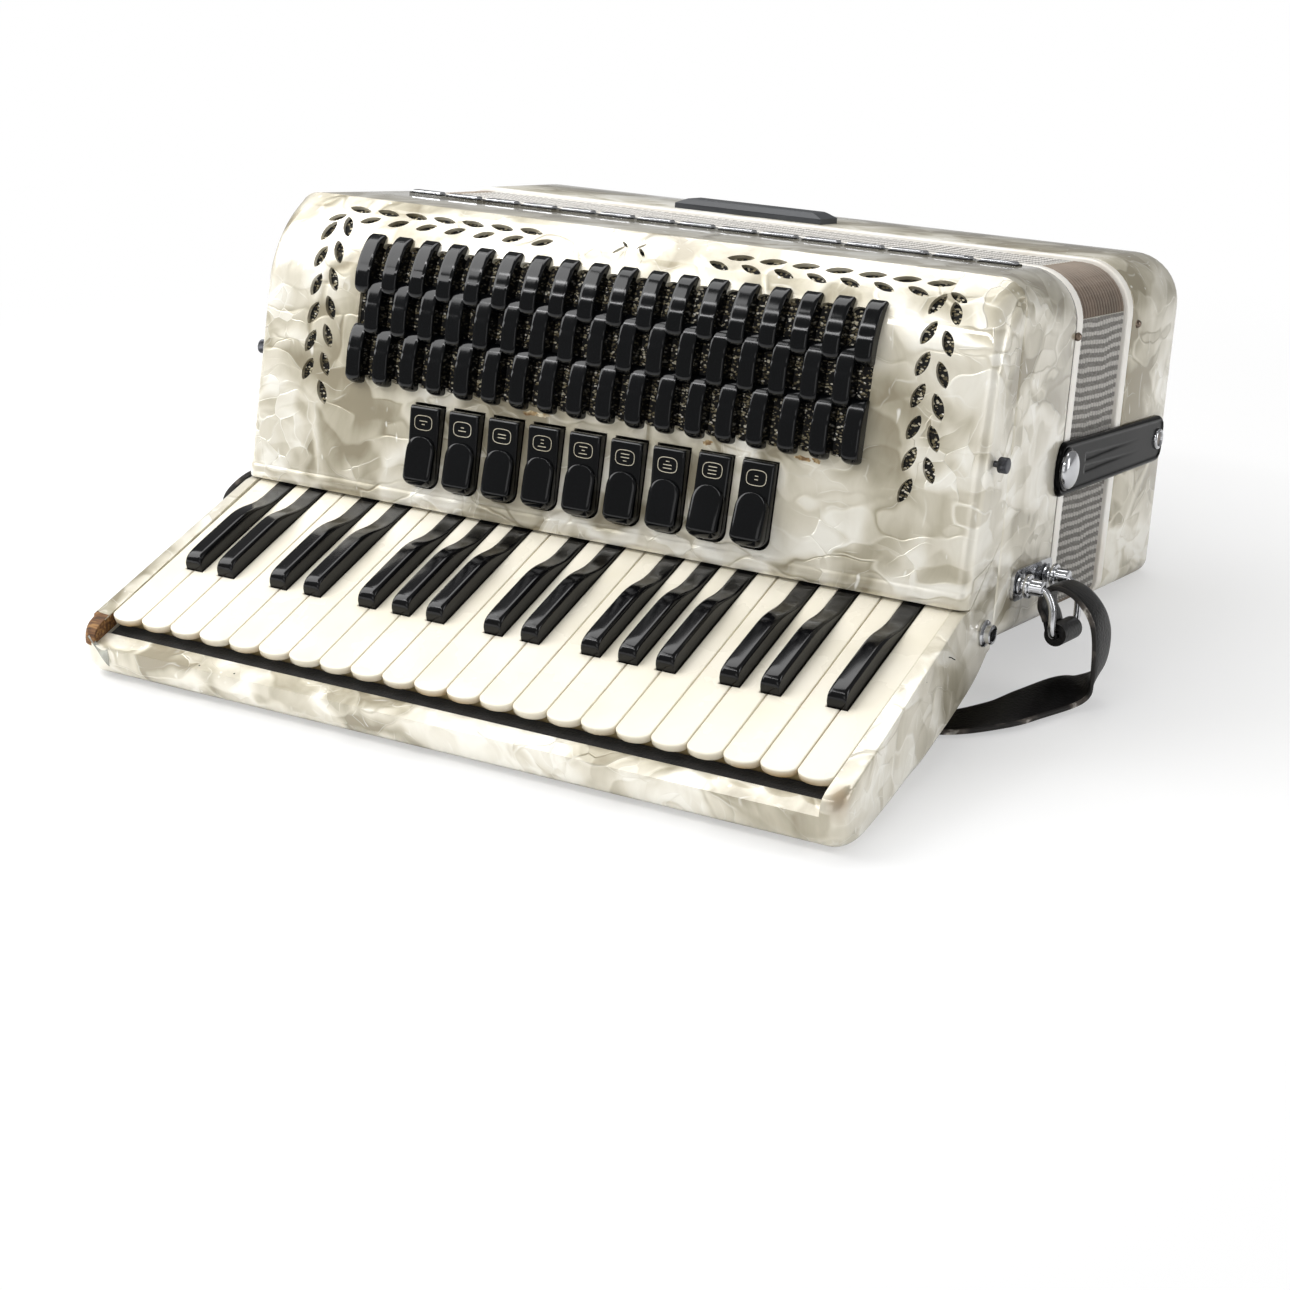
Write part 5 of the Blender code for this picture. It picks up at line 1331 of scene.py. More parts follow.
# %% [markdown]
# A white key is a plastic plate with a rounded tip, cut out beside the black keys, on a narrower
# front. The plate's upper edge is rounded: three outlines, each drawn further in and set higher.

# %% White keys
KEY_LENGTH, KEY_DEPTH, PLATE, TIP = 157.0, 16.0, 4.0, 5.5
KEY_GAP, BLACK_WIDTH, BLACK_FRONT = 0.5, 10.5, 46.0
OFFSETS = {0: -1.4, 1: 1.4, 3: -2.0, 4: 0.0, 5: 2.0}


def black_x(white):
    """Middle of the black key after a white one, or None where there is none."""
    note = (4 + white) % 7
    if note not in OFFSETS or not 0 <= white < KEYS - 1:
        return None
    return (white + 1) * PITCH + OFFSETS[note]


def white_outline(k):
    """(x, along) outline: a half ellipse for the tip, then the sides with their notches."""
    left, right_edge = k * PITCH + KEY_GAP / 2, (k + 1) * PITCH - KEY_GAP / 2
    before, after = black_x(k - 1), black_x(k)
    tail_left = before + BLACK_WIDTH / 2 + KEY_GAP if before is not None else left + 0.02
    tail_right = after - BLACK_WIDTH / 2 - KEY_GAP if after is not None else right_edge - 0.02
    notch = BLACK_FRONT - KEY_GAP
    angle = np.linspace(np.pi, 2 * np.pi, 17)
    middle, half = (left + right_edge) / 2, (right_edge - left) / 2
    tip = np.stack([middle + half * np.cos(angle), TIP * np.sin(angle)], axis=1)
    side = [(right_edge, notch), (tail_right, notch), (tail_right, KEY_LENGTH),
            (tail_left, KEY_LENGTH), (tail_left, notch), (left, notch)]
    return np.vstack([tip, side])


def lifted(outline, above):
    """Outline points raised over the keys' plane into body points."""
    return np.insert(on_keys(outline[:, 1], above), 0, outline[:, 0], axis=1)


def white_plate(k):
    """The plastic top: six outlines, drawn in at both faces."""
    outline = white_outline(k)
    rows = [lifted(inset(outline, d), -h) for d, h in
            ((0.35, PLATE), (0.0, PLATE - 0.4), (0.0, 0.75), (0.16, 0.3), (0.5, 0.06), (1.1, 0.0))]
    return loft(rows)


def body_places(elements, kind):
    """Places of points or of face centres, back in the instrument's axes."""
    flat = np.zeros(len(elements) * 3)
    elements.foreach_get(kind, flat)
    return (flat.reshape(-1, 3) - SHIFT) @ TURN * 1000.0


def paint(item, name, values):
    """One value on each point of a mesh, as an attribute that a material can read."""
    layer = item.data.attributes.new(name, "FLOAT", "POINT")
    layer.data.foreach_set("value", values.astype(np.float32))


def below_edge(body):
    """0 on the top of the plate and 1 down its cut sides."""
    above = body[:, 1:] @ KEY_UP
    return np.clip((-0.5 - above) / 0.6, 0, 1)


def white_stem(k):
    """The narrower front and sides under the plate."""
    outline = inset(white_outline(k), 0.35)
    outline[:, 1] = np.maximum(outline[:, 1], 3.0)
    return loft([lifted(outline, -KEY_DEPTH), lifted(outline, -PLATE + 0.1)])


for k in range(KEYS):
    node = f"white_key_{k + 1:02d}"
    key = make(f"white_top_{k + 1:02d}", white_plate(k), IVORY, node, sharp=50)
    # The stem's darker colour and the tan on the plate's cut sides are partly age and partly
    # painted shade in the gaps.
    make(f"white_stem_{k + 1:02d}", white_stem(k), IVORY_SIDE_TAN_AND_GAP_SHADE, node)
    paint(key, "side", below_edge(body_places(key.data.vertices, "co")))
    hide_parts(node)
print("white keys:", KEYS)

# %% [markdown]
# A black key is lofted along its length. The cross-section has chamfered shoulders; the front
# leans back, and near the grille the top dips in a long curve to slide under the cover.

# %% Black keys
BLACK_ROOT = -14.0


def black_form(x):
    """Cross-sections with chamfered shoulders; their height follows the curve of the top."""
    along = np.array([46, 46.1, 46.6, 47.4, 48.6, 50.2, 53, 58, 70, 84, 88, 92, 96, 100, 104, 108,
                      112, 117, 130, 157.0])
    top = np.array([0.5, 3.6, 5.3, 6.5, 7.5, 8.1, 8.55, 8.75, 8.8, 8.8, 8.7, 8.3, 7.5, 6.3, 4.8,
                    3.4, 2.2, 1.4, 1.2, 1.2])
    across = np.array([-1, -1, -0.985, -0.93, -0.80, -0.72, -0.60, 0.60, 0.72, 0.80, 0.93, 0.985,
                       1, 1])
    share = np.array([0, 0.70, 0.78, 0.86, 0.955, 0.99, 1.0, 1.0, 0.99, 0.955, 0.86, 0.78, 0.70,
                      0])
    sections = []
    for a, t in zip(along, top):
        above = np.where(share > 0, t - (1 - share) * max(t, 1.0) * 0.75, BLACK_ROOT)
        half = BLACK_WIDTH / 2 - 0.25 * np.clip((above + 2) / 10, 0, 1)
        yz = on_keys(a, above)
        sections.append(np.insert(yz, 0, x + across * half, axis=1))
    return loft(sections)


blacks = [black_x(k) for k in range(KEYS) if black_x(k) is not None]
for number, x in enumerate(blacks):
    node = f"black_key_{number + 1:02d}"
    key = make(f"black_top_{number + 1:02d}", black_form(x), KEY_BLACK, node, sharp=40)
    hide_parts(node)
print("black keys:", len(blacks))

# %% [markdown]
# The keyboard bed: floor, rim and cheeks. Its side outline has every corner softened with a small
# Bezier arc, and it is lofted across the keyboard with rounded ends; then the well is cut out.

# %% Keyboard bed
BED_ROUND, BED_FLARE = 9.0, 4.0
AXLE = (150, -8)


def soften(outline, radii, steps=6):
    """Each corner of a closed outline becomes a quadratic arc that starts its radius away."""
    outline = np.asarray(outline, float)
    before = np.roll(outline, 1, axis=0) - outline
    after = np.roll(outline, -1, axis=0) - outline
    lengths = [np.linalg.norm(e, axis=1) for e in (before, after)]
    reach = [np.minimum(radii, 0.48 * n)[:, None] for n in lengths]
    start = outline + before / lengths[0][:, None] * reach[0]
    end = outline + after / lengths[1][:, None] * reach[1]
    t = np.linspace(0, 1, steps)[None, :, None]
    arcs = (1 - t) ** 2 * start[:, None] + 2 * t * (1 - t) * outline[:, None]
    arcs = arcs + t ** 2 * end[:, None]
    return arcs.reshape(-1, 2)


def bed_outline():
    """(y, z) outline of rim, belly, back and cheeks, with its corners softened."""
    corners = [on_keys(-22, -20), on_keys(-19, -27), on_keys(-10, -31.5)]
    belly = ((0, -33.2), (31.4, -38.5), (67.5, -44.0), (117.75, -45.4), (139.7, -43.8))
    corners += [on_keys(a, b) for a, b in belly]
    corners += [(SEAM - 0.3, 31.5), (SEAM - 0.3, 87.6), (126.4, 57.5), (119.0, 56.7)]
    corners += [on_keys(-13, 0.0), on_keys(-18, -2.5), on_keys(-21.2, -9)]
    radii = np.array([8, 8, 8, 12, 12, 12, 12, 12, 2, 0.5, 0.5, 3, 9, 6, 8.0])
    return soften(np.array([tuple(c) for c in corners]), radii)


def bed_form():
    """The outline from one end to the other, drawn towards its middle near each end."""
    outline = bed_outline()
    middle = outline.mean(axis=0)
    inward = BED_ROUND * (1 - np.cos(np.linspace(0, np.pi / 2, 10)))
    sections = []
    for side in (-1, 1):
        for step in inward if side < 0 else inward[::-1]:
            depth = BED_ROUND - math.sqrt(max(BED_ROUND ** 2 - (BED_ROUND - step) ** 2, 0.0))
            along, above = outline @ KEY_AHEAD, outline @ KEY_UP
            ahead = np.clip((125.6 - along) / 70.65, 0, 1)
            ease = ahead ** 2 * (3 - 2 * ahead)
            towards = middle - outline
            towards /= np.linalg.norm(towards, axis=1)[:, None]
            outer = np.where((above < -14) | (along < -10), 1.0, 0.45)
            amount = depth * outer * np.minimum(1.0, ease + 0.4)
            free = ((outline[:, 0] < SEAM - 0.6) & (outline[:, 1] < 57.2)) | (ahead > 0.3)
            moved = outline + towards * (amount * free)[:, None]
            x = LEFT + step - BED_FLARE * ease if side < 0 else RIGHT - step + BED_FLARE * ease
            sections.append(np.column_stack([x, moved]))
    return loft(sections)


bed = make("keyboard_bed_shell", bed_form(), PEARL, "treble_section")
deep = on_keys(150, -22)
well = [on_keys(-9, 40), on_keys(-9, -12), on_keys(2, -12), on_keys(2, -22), deep,
        (SEAM - 2.4, deep[1]), (SEAM - 2.4, 157.0)]
rim = [on_keys(-49, 40), on_keys(-49, -8), on_keys(-8, -8), on_keys(-8, 40)]
cut(bed, [prism(well, -0.3, LENGTH + 0.3)])
cut(bed, [prism(rim, -0.3, LENGTH + 0.3)])
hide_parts("keyboard_bed")

# %% [markdown]
# Wear of the bed. At the high end the celluloid has broken off the cheek's end, so the wood shows
# there and a clear flake stands away from it. The low cheek's end is rubbed brown and chipped in
# two places, and two nail holes are left in the rim.

# %% Wear of the bed
def worn_end(body):
    """1 in the middle of the rubbed patch on the low cheek, 0 outside its ellipsoid."""
    away = np.linalg.norm((body - np.array([434.0, -10.0, -7.5])) / np.array([5.0, 6.0, 9.0]),
                          axis=1)
    return np.clip(1.4 - away, 0, 1)


paint(bed, "worn", worn_end(body_places(bed.data.vertices, "co")))
bed.data.materials.append(WOOD)
centres = body_places(bed.data.polygons, "center")
along, above = centres[:, 1:] @ KEY_AHEAD, centres[:, 1:] @ KEY_UP
bare = (centres[:, 0] < 1.0) & (along < 4.0) & (above > -9.0)
bed.data.polygons.foreach_set("material_index", bare.astype(np.int32))


def flake_form():
    """A thin curled sheet: it leaves the rim's end, bends upwards and runs to a point."""
    t, s = np.linspace(0, 1, 15)[:, None], np.linspace(-1, 1, 9)[None, :]
    width = 4.6 * (1 - t) ** 0.8 + 0.08
    x = 9.0 - 13.0 * t + 0 * s
    above = -13.5 + 9.5 * t ** 1.6 + width * s
    along = -22.1 + 0.2724 * (above + 13.5) + 1.2 * t * s * s
    front = np.stack([x, along * math.cos(SLOPE) - above * math.sin(SLOPE),
                      along * math.sin(SLOPE) + above * math.cos(SLOPE)], axis=-1)
    back = front + np.array([0.0, 0.3, 0.0])
    return loft(np.concatenate([front, back[:, ::-1]], axis=1))


bare_side = prism([on_keys(-20.4, -7.9), on_keys(-1, -7.9), on_keys(-1, -0.5), on_keys(-13, -0.9),
                   on_keys(-17.4, -3.0), on_keys(-19.6, -5.2)], -0.35, -0.1)
make("bare_cheek_side", bare_side, WOOD, "treble_section")
make("lifted_flake", flake_form(), FLAKE, "treble_section")
level = np.array([0.0, -math.sin(SLOPE), math.cos(SLOPE)])
# The nail holes are not cut: each is a small black disc on the rim, painted shade for the hole.
holes = [turned([(-0.6, 0.55), (0.06, 0.5), (0.08, 0.05)], (x, y, z), tuple(level), 12)
         for x, y, z in ((68.4, -12.4, -14.6), (91.1, -12.3, -14.55))]
make("nail_holes", together(holes), INSIDE, "treble_section", weld=1e-8)
chips = [tube([(434.9, 101.5, 38.4), (435.0, 104.5, 37.6), (435.05, 107.5, 36.3),
               (435.0, 109.5, 35.6)], 0.3, 6),
         tube([(434.4, 73.2, 31.6), (434.8, 75.0, 31.4), (435.0, 76.6, 30.6)], 0.3, 6)]
make("celluloid_chips", together(chips), INSIDE, "treble_section", weld=1e-8)
print("wear: a flake,", len(holes), "nail holes and", len(chips), "chips;", int(bare.sum()),
      "faces bare")

felt_strip = prism([on_keys(-8.9, -11.9), on_keys(1.9, -11.9), on_keys(1.9, -10.0),
                    on_keys(-8.9, -9.8)], -0.2, LENGTH + 0.2)
make("felt_strip", felt_strip, FELT, "treble_section")
axle = tube([(-1, *on_keys(*AXLE)), (LENGTH + 1, *on_keys(*AXLE))], 1.5, 10)
make("key_axle", axle, CHROME, "treble_section")
print("bed:", len(bed.data.polygons), "faces")

# %% [markdown]
# The bellows: seventeen folds round the whole outline. From valley to crest the inset falls from
# 14 mm to 2 mm. Three attributes are painted on the points: how near the crest a point is, its
# place along the straight side it lies on, and whether the tape covers it.

# %% Bellows
FOLDS = 17


def bellows_form():
    """Rows along y, eight to a fold; the inset is a rounded saw of the place in the fold."""
    per_fold = 8
    count = FOLDS * per_fold + 1
    y = np.linspace(BELLOWS_Y[0], BELLOWS_Y[1], count)
    phase = (np.arange(count) % per_fold) / per_fold
    open_share = 1 - np.abs(2 * phase - 1)
    crest = np.sin(open_share * np.pi / 2) ** 1.1
    crest[0] = crest[-1] = 0.0
    sections = []
    base = box_outline(0.0, 28.0, 10.0, 8)
    straight = dense_outline(base)
    for row_y, c in zip(y, crest):
        outline = dense_outline(box_outline(2.0 + 12.0 * (1 - c), 28.0, 10.0, 8))
        sections.append(np.insert(outline, 1, row_y, axis=1))
    aside, height = np.abs(straight[:, 0] - MIDDLE), straight[:, 1]
    upright = aside > 190
    walk = np.where(upright, height, straight[:, 0]) / 1000.0
    on_side = (height > 38) & (height < 190) & upright
    on_top = (height > 205) & (aside < 186)
    on_back = (height < 45) & (aside < 200)
    tape = (on_side | on_top | on_back).astype(float)
    return np.array(sections), crest, walk, tape


def dense_outline(outline):
    """Points added on the outline's long sides, about 12 mm apart, at the same shares."""
    pieces = []
    for k in range(len(outline)):
        a, b = outline[k], outline[(k + 1) % len(outline)]
        extra = 32 if abs(a[0] - b[0]) > 100 else 13 if abs(a[1] - b[1]) > 60 else 1
        t = (np.arange(extra) / extra)[:, None]
        pieces.append(a + (b - a) * t)
    return np.concatenate(pieces)


sections, crest, walk, tape = bellows_form()
bellows = make("pleated_bellows", loft(sections), BELLOWS, sharp=80, weld=1e-8)
order = len(walk)
values = {"crest": np.repeat(crest, order), "around": np.tile(walk, len(crest)),
          "tape": np.tile(tape, len(crest))}
points = np.zeros(len(bellows.data.vertices) * 3)
bellows.data.vertices.foreach_get("co", points)
same = np.abs(points.reshape(-1, 3) - to_table(sections.reshape(-1, 3))).max()
print("bellows:", len(crest), "rows of", order, "points, order kept to", round(float(same), 9))
for name, value in values.items():
    paint(bellows, name, value)
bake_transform(bellows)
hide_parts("bellows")

# %% [markdown]
# Bellows straps hold the bellows closed: a leather tongue with a snap cap at the treble end and a
# rivet at the bass end, where it turns when the cap is undone. The tongue has a raised border and
# two long pressed triangles, all from one height field over its face.

# %% Bellows straps
CAP_Y, RIVET_Y, STRAP_Z, STRAP_HALF = 233.6, 378.0, 115.0, 14.5


def tongue(x, way):
    """A grid over the tongue: length by width, with the height of border and triangles."""
    rows, columns = 121, 41
    s = np.linspace(0, 1, rows)[:, None]
    t = np.linspace(-1, 1, columns)[None, :]
    y_low, y_high = 222.6, 386.0
    y = y_low + (y_high - y_low) * s + 0 * t
    round_end = np.clip(np.minimum(y - y_low, y_high - y) / 9.0, 0, 1)
    half = STRAP_HALF * np.sqrt(np.maximum(1 - (1 - round_end) ** 3, 0.12)) * (1 - 0.10 * s)
    z = STRAP_Z + half * t
    rim = np.minimum((1 - np.abs(t)) * half, np.minimum(y - y_low, y_high - y))
    border = 0.7 * np.clip(1.4 - np.abs(rim - 1.9), 0, 1)
    along = np.clip((y - 262) / 90.0, 0, 1)
    spread = np.abs(np.abs(z - STRAP_Z) - 3.2)
    wedge = np.clip(2.4 * (1 - along) - spread, -1, 1) * (along > 0) * (along < 1)
    pressed = np.clip(wedge, 0, 1) * 0.7
    edge_drop = np.clip(1 - rim / 1.0, 0, 1) ** 2 * 0.9
    out = 2.1 + border - pressed - edge_drop
    front = np.stack([x + way * (0.3 + out), y, z], axis=-1)
    back = np.stack([x + way * (0.3 + 0 * out), y, z], axis=-1)
    return close_sheet(front, back)


def close_sheet(front, back):
    """Two grids of the same size, sewn together round their edge."""
    rows, columns = front.shape[:2]
    count = rows * columns
    index = np.arange(count).reshape(rows, columns)
    loop = np.concatenate([index[0, :-1], index[:-1, -1], index[-1, :0:-1], index[:0:-1, 0]])
    after = np.roll(loop, -1)
    faces = [tuple(f) for f in grid_quads(rows, columns)]
    faces += [tuple(f[::-1] + count) for f in grid_quads(rows, columns)]
    faces += [tuple(f) for f in np.stack([after, loop, loop + count, after + count], axis=1)]
    return np.concatenate([front.reshape(-1, 3), back.reshape(-1, 3)]), faces


DOME = [(-0.4, 0.2), (-0.4, 1.0), (0.25, 1.0), (0.42, 0.985), (0.55, 0.95), (0.70, 0.86),
        (0.84, 0.70), (0.93, 0.50), (0.985, 0.28), (1.0, 0.02)]
CAP = [(height * 5.0, radius * 10.3) for height, radius in DOME]
RING = [(0.0, 9.0), (0.0, 11.3), (0.5, 11.3), (0.9, 10.8), (0.6, 9.5)]
EYELET = [(-0.4, 2.6), (-0.4, 6.0), (0.5, 6.0), (1.1, 5.6), (1.4, 4.9), (1.1, 4.1), (0.2, 3.8),
          (-0.4, 3.6)]
CORE = [(-0.4, 0.2), (-0.4, 3.7), (0.3, 3.7), (0.6, 2.6), (0.7, 0.05)]
FITTINGS = (("snap_cap", CAP, CAP_Y, 40, CHROME), ("snap_ring", RING, CAP_Y, 40, BLACK),
            ("strap_rivet", EYELET, RIVET_Y, 32, CHROME), ("rivet_core", CORE, RIVET_Y, 24, BRASS))
for name, x, way in (("low", RIGHT, 1), ("high", LEFT, -1)):
    node = f"bellows_strap_{name}"
    strap = make(f"closing_strap_{name}", tongue(x, way), PATENT, node, sharp=50)
    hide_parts(node)
    for kind, profile, y, sides, look in FITTINGS:
        form = turned(profile, (x + way * 2.7, y, STRAP_Z), (way, 0, 0), sides)
        make(f"{kind}_{name}", form, look, node)
print("bellows straps: 2")

# %% [markdown]
# Strap brackets: a plate, two turned posts with collars, and a bail of bent wire between them.

# %% Strap brackets
BRACKET_Y = (185.0, 221.5)
BRACKET_Z = 61.0
POST = [(-3.0, 4.4), (1.6, 4.4), (1.9, 5.4), (2.6, 5.8), (3.2, 5.2), (3.6, 3.6), (4.6, 3.4),
        (5.0, 5.2), (5.6, 6.2), (6.8, 6.4), (7.6, 6.0), (8.0, 4.6), (9.0, 4.2), (13.5, 4.2),
        (14.5, 3.8), (15.0, 2.6), (15.1, 0.05)]
for name, x, way, node in (("low", RIGHT + 0.3, 1, "strap_bracket_low"), ("high", LEFT, -1, None)):
    forms = [turned(POST, (x, y, BRACKET_Z), (way, 0, 0), 24) for y in BRACKET_Y]
    hang = x + way * 12.0
    low_z = BRACKET_Z - 24.0
    route = smooth_path([(hang, BRACKET_Y[0], BRACKET_Z),
                         (hang + way * 5, BRACKET_Y[0], BRACKET_Z - 2.5),
                         (hang + way * 8.4, BRACKET_Y[0], BRACKET_Z - 10),
                         (hang + way * 9, BRACKET_Y[0] + 0.4, low_z + 4),
                         (hang + way * 9, BRACKET_Y[0] + 4.5, low_z),
                         (hang + way * 9, sum(BRACKET_Y) / 2, low_z),
                         (hang + way * 9, BRACKET_Y[1] - 4.5, low_z),
                         (hang + way * 9, BRACKET_Y[1] - 0.4, low_z + 4),
                         (hang + way * 8.4, BRACKET_Y[1], BRACKET_Z - 10),
                         (hang + way * 5, BRACKET_Y[1], BRACKET_Z - 2.5),
                         (hang, BRACKET_Y[1], BRACKET_Z)], 90)
    forms.append(tube(route, 1.95, 12))
    plate = soften([(176.8, 52.8), (229.7, 52.8), (229.7, 69.2), (176.8, 69.2)], np.full(4, 5.0))
    low_x, high_x = sorted((x - way * 0.2, x + way * 1.5))
    forms.append(prism(plate, low_x, high_x))
    bracket = make(f"strap_bracket_{name}_plated", together(forms), CHROME, "treble_section",
                   sharp=40, weld=1e-7)
    if node:
        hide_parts(node)
print("brackets: 2")

# %% [markdown]
# The shoulder strap is a flat leather band. It runs round the wire of the low bracket, lies on
# the table under the instrument and climbs to the bracket at the other end. It is a band carried
# along its route, with the width's direction given at each point, and a cracked paler edge as its
# own piece.

# %% Shoulder strap
STRAP_WIDTH, STRAP_THICK = 25.0, 4.0


def strap_route():
    """Route and width direction at each point, in world millimetres, as the CAD lays it."""
    bail = np.array([[RIGHT + 0.3 + 21.0, sum(BRACKET_Y) / 2, BRACKET_Z - 24.0],
                     [LEFT - 21.0, sum(BRACKET_Y) / 2, BRACKET_Z - 24.0]])
    low, high = to_table(bail) * 1000
    span = low[0] - high[0]
    floor_z = 0.3 + STRAP_THICK / 2
    across = TURN @ np.array([0.0, 1.0, 0.0])
    up_way = TURN @ np.array([0.0, 0.0, 1.0])
    arch = ((-4.6, 0), (-7, 7), (-10, 13), (-9, 20), (-2, 24), (8, 21), (17, 12), (21, 0))
    rows = [(low + np.array([aside, 0, 0]) + rise * up_way, across) for aside, rise in arch]
    rows += [
        ((low[0] + 20, low[1] - 1, floor_z + 16), (-0.1, 1, 0)),
        ((low[0] + 14, low[1] - 5, floor_z + 8), (-0.3, 1, 0.2)),
        ((low[0] + 5, low[1] - 15, floor_z + 5), (-0.8, 0.5, 0.3)),
        ((low[0] - 4, low[1] - 32, floor_z + 4), (-1, 0.35, 0.25)),
        ((low[0] - 14, low[1] - 50, floor_z + 3), (-0.8, 0.7, 0.15)),
        ((low[0] - 36, low[1] - 68, floor_z + 1), (-0.45, 0.9, 0.05)),
        ((low[0] - 70, low[1] - 74, floor_z), (-0.1, 1, 0)),
        ((low[0] - 0.25 * span, low[1] - 52, floor_z), (0.4, 1, 0)),
        ((low[0] - 0.38 * span, low[1] - 12, floor_z), (0.4, 1, 0)),
        ((low[0] - 0.54 * span, low[1] + 12, floor_z), (0.1, 1, 0)),
        ((low[0] - 0.83 * span, low[1] + 20, floor_z), (0, 1, 0)),
        ((high[0] - 14, low[1] + 14, floor_z), (0, 1, 0)),
        ((high[0] - 36, low[1] + 2, floor_z + 4), (0, 1, 0)),
        ((high[0] - 45, low[1] - 10, floor_z + 15), (0, 1, 0)),
        ((high[0] - 42, low[1] - 11, floor_z + 28), across),
        (high + [-24, 0, 0] - 5 * across + 8 * up_way, across),
        (high + [-4.6, 0, 0], across),
    ]
    return np.array([r[0] for r in rows], float), np.array([r[1] for r in rows], float), low, high


def band(route, width_way, half, thick, crown, offset=0.0, lowest=0.1):
    """A flattened oval carried along the route; no point of it goes below the lowest height."""
    along = np.gradient(route, axis=0)
    along /= np.linalg.norm(along, axis=1)[:, None]
    way = width_way - along * (width_way * along).sum(axis=1)[:, None]
    way /= np.linalg.norm(way, axis=1)[:, None]
    out = np.cross(along, way)
    angle = np.linspace(0, 2 * np.pi, 28, endpoint=False)
    a = half * np.sign(np.cos(angle)) * np.abs(np.cos(angle)) ** 0.35 + offset
    b = thick / 2 * np.sign(np.sin(angle)) * np.abs(np.sin(angle)) ** 0.55
    b = b * (1 - crown * (a / (half + abs(offset))) ** 2)
    rows = route[:, None] + way[:, None] * a[:, None] + out[:, None] * b[:, None]
    rows[..., 2] = np.maximum(rows[..., 2], lowest)
    return loft(rows)


route, width_way, low_bail, high_bail = strap_route()
route = smooth_path(route, 300)
width_way = smooth_path(width_way, 300)
route[:, 2] = np.maximum(route[:, 2], 0.3 + STRAP_THICK / 2)
strap_form = band(route, width_way, STRAP_WIDTH / 2 - 0.8, STRAP_THICK - 0.4, 0.25)
loops = []
for centre in (low_bail, high_bail):
    angle = np.linspace(0, 2 * np.pi, 33)[:-1]
    radius = 2.4 + STRAP_THICK / 2 - 0.2
    axis = TURN @ np.array([0.0, 1.0, 0.0])
    one = np.array([1.0, 0.0, 0.0])
    two = np.cross(axis, one)
    path = centre + radius * (np.cos(angle)[:, None] * one + np.sin(angle)[:, None] * two)
    out = (path - centre) / radius
    corners = [(-1, -1), (1, -1), (1, 1), (-1, 1)]
    half_wide, half_thick = STRAP_WIDTH / 2 - 0.6, STRAP_THICK / 2 - 0.3
    section = np.stack([path + axis * a * half_wide + out * b * half_thick for a, b in corners],
                       axis=1)
    ring_faces = [tuple(f) for f in grid_quads(32, 4, True)]
    last = 31 * 4
    ring_faces += [(last + k, last + (k + 1) % 4, (k + 1) % 4, k) for k in range(4)]
    loops.append((section.reshape(-1, 3), ring_faces))
points, faces = together([strap_form] + loops)
strap = make("shoulder_strap_leather", (points / 1000, faces), LEATHER, "treble_section", sharp=50,
             table=False, weld=1e-8)
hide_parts("shoulder_strap")
edge = band(route[10:-10], width_way[10:-10], 1.2, STRAP_THICK - 1.6, 0.0, -STRAP_WIDTH / 2 + 1.7)
make("shoulder_strap_edge", (edge[0] / 1000, edge[1]), PALE_EDGE, "treble_section", table=False,
     weld=1e-8)
print("shoulder strap:", round(float(np.linalg.norm(np.diff(route, axis=0), axis=1).sum())),
      "mm of band")

# %% [markdown]
# In the recess: eighty bass buttons in five leaning rows on their board, and the hand strap.

# %% Bass buttons and hand strap
BOARD_Y = RECESS_Y + 0.3
board = prism(soften([(BOARD_Y, BACK + 4), (BOARD_Y + 3, BACK + 4), (BOARD_Y + 3, RECESS_TOP - 10),
                      (BOARD_Y, RECESS_TOP - 10)], np.full(4, 0.8)), LEFT + 28, RIGHT - 28)
board_piece = make("button_board", board, IVORY, "bass_section")
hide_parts("bass_button_board")
button_profile = [(-1.0, 3.1), (4.2, 3.1), (5.3, 2.9), (5.85, 2.3), (6.0, 0.05)]
buttons = []
middle_z = (BACK + 4 + RECESS_TOP - 10) / 2
for row in range(5):
    for column in range(16):
        x = MIDDLE + 17.0 * (column - 7.5) + (row - 2) * 17.0 / 4
        buttons.append(turned(button_profile, (x, BOARD_Y + 3, middle_z + 13.0 * (row - 2)),
                              (0, 1, 0), 14))
make("bass_buttons", together(buttons), BUTTON, "bass_section", weld=1e-7)

share = np.linspace(0, 1, 61)
x = LEFT + 20.4 + (RIGHT - LEFT - 40.8) * share
y = BASS_END - 8.0 - 2.0 + 3.0 * np.sin(np.pi * share)
hand_route = np.stack([x, y, np.full_like(x, BACK + 14 + 21.0)], axis=1)
hand = band(hand_route, np.tile([0.0, 0.0, 1.0], (61, 1)), 20.8, 3.8, 0.2)
hand_strap = make("hand_strap_leather", hand, LEATHER, "bass_section", sharp=50)
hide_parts("bass_strap")
print("buttons:", len(buttons))

# %% [markdown]
# Small metal: knurled thumbscrews of the cover, the socket on the low cheek, pins in the bellows
# rims, and a row of plain bright bars along the front edge, where the real one carries a plated
# trim.

# %% Small metal
def knurled(centre, way):
    """A turned head whose rim is a fine zigzag: the radius follows a triangle wave."""
    angle = np.linspace(0, 2 * np.pi, 72, endpoint=False)
    ridge = 0.25 * (np.arange(72) % 2)
    rows = [(0.0, 1.6, 0), (3.0, 1.6, 0), (3.2, 3.5, 1), (3.6, 3.75, 1), (7.4, 3.75, 1),
            (7.8, 3.45, 1), (8.0, 2.6, 0), (8.0, 0.05, 0)]
    sections = []
    for height, radius, on in rows:
        r = radius + ridge * on
        sections.append(np.stack([centre[0] + way * (height + 0 * angle),
                                  centre[1] + r * np.cos(angle), centre[2] + r * np.sin(angle)],
                                 axis=1))
    return loft(sections)


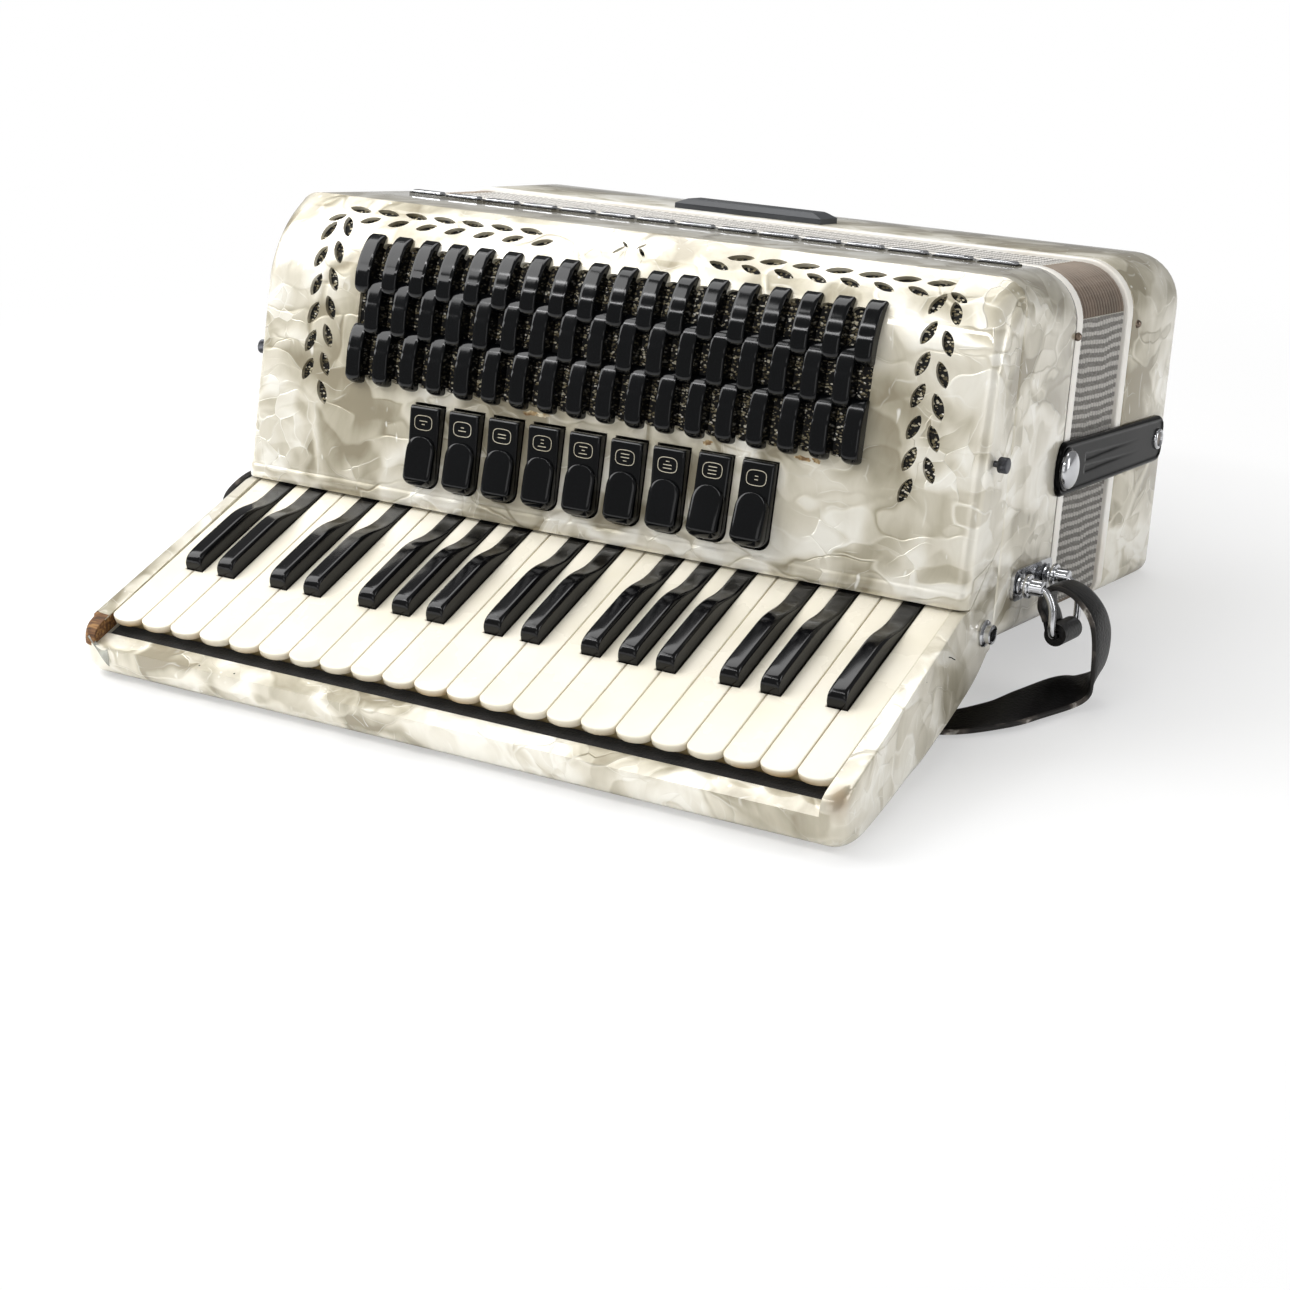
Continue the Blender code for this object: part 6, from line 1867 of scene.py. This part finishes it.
for name, x, way in (("low", RIGHT, 1), ("high", LEFT, -1)):
    make(f"thumbscrew_{name}", knurled((x - way * 0.5, 137.0, 129.0), way), SCREW_STEEL,
         "treble_section", sharp=30)
    pins = [turned([(-1, 2.3), (0.4, 2.3), (1.3, 2.0), (2.1, 1.2), (2.4, 0.05)],
                   (x - way * 0.2, y, 183.7), (way, 0, 0), 20) for y in (234.6, 326.5)]
    make(f"rim_pin_treble_{name}", pins[0], DARK_STEEL, "treble_section")
    make(f"rim_pin_bass_{name}", pins[1], DARK_STEEL, "bass_section")

socket_profile = [(-3.0, 5.0), (0.0, 5.0), (0.1, 6.6), (0.9, 7.0), (1.6, 6.5), (1.9, 5.0),
                  (3.6, 4.9), (4.6, 5.1), (5.2, 4.8), (5.3, 3.4), (2.0, 3.2), (2.0, 0.05)]
make("strap_socket", turned(socket_profile, (RIGHT, 147.0, 42.0), (1, 0, 0), 32), CHROME,
     "treble_section")
make("socket_core",
     turned([(1.0, 3.3), (2.6, 3.3), (2.7, 0.05)], (RIGHT, 147.0, 42.0), (1, 0, 0), 24), INSIDE,
     "treble_section")


def trim_bar(x_low, x_high, y, z, half, rise):
    """A plain bar with a rounded upper face: a small loft whose sections shrink as they rise."""
    rows = []
    for shrink, height in ((0.0, -0.3), (0.0, rise * 0.6), (0.35, rise * 0.9), (0.9, rise)):
        rows.append([(x_low + shrink, y - half + shrink, z + height),
                     (x_high - shrink, y - half + shrink, z + height),
                     (x_high - shrink, y + half - shrink, z + height),
                     (x_low + shrink, y + half - shrink, z + height)])
    return loft(np.array(rows))


TRIM_Y = TREBLE_END - 9.0
trim_x = MIDDLE + 25.4 * (np.arange(15) - 7)
trims = [trim_bar(x - 9.6, x + 9.6, TRIM_Y, TOP, 3.0, 1.9) for x in trim_x]
trims.append(trim_bar(trim_x[0], trim_x[-1], TRIM_Y, TOP, 0.7, 0.7))
make("plain_trim_bars", together(trims), CHROME, "treble_section", sharp=40, weld=1e-7)
backs = [trim_bar(x - 10.8, x + 10.8, TRIM_Y, TOP, 4.1, 0.6) for x in trim_x]
make("trim_bar_backs", together(backs), INSIDE, "treble_section", sharp=40, weld=1e-7)
print("small metal made")
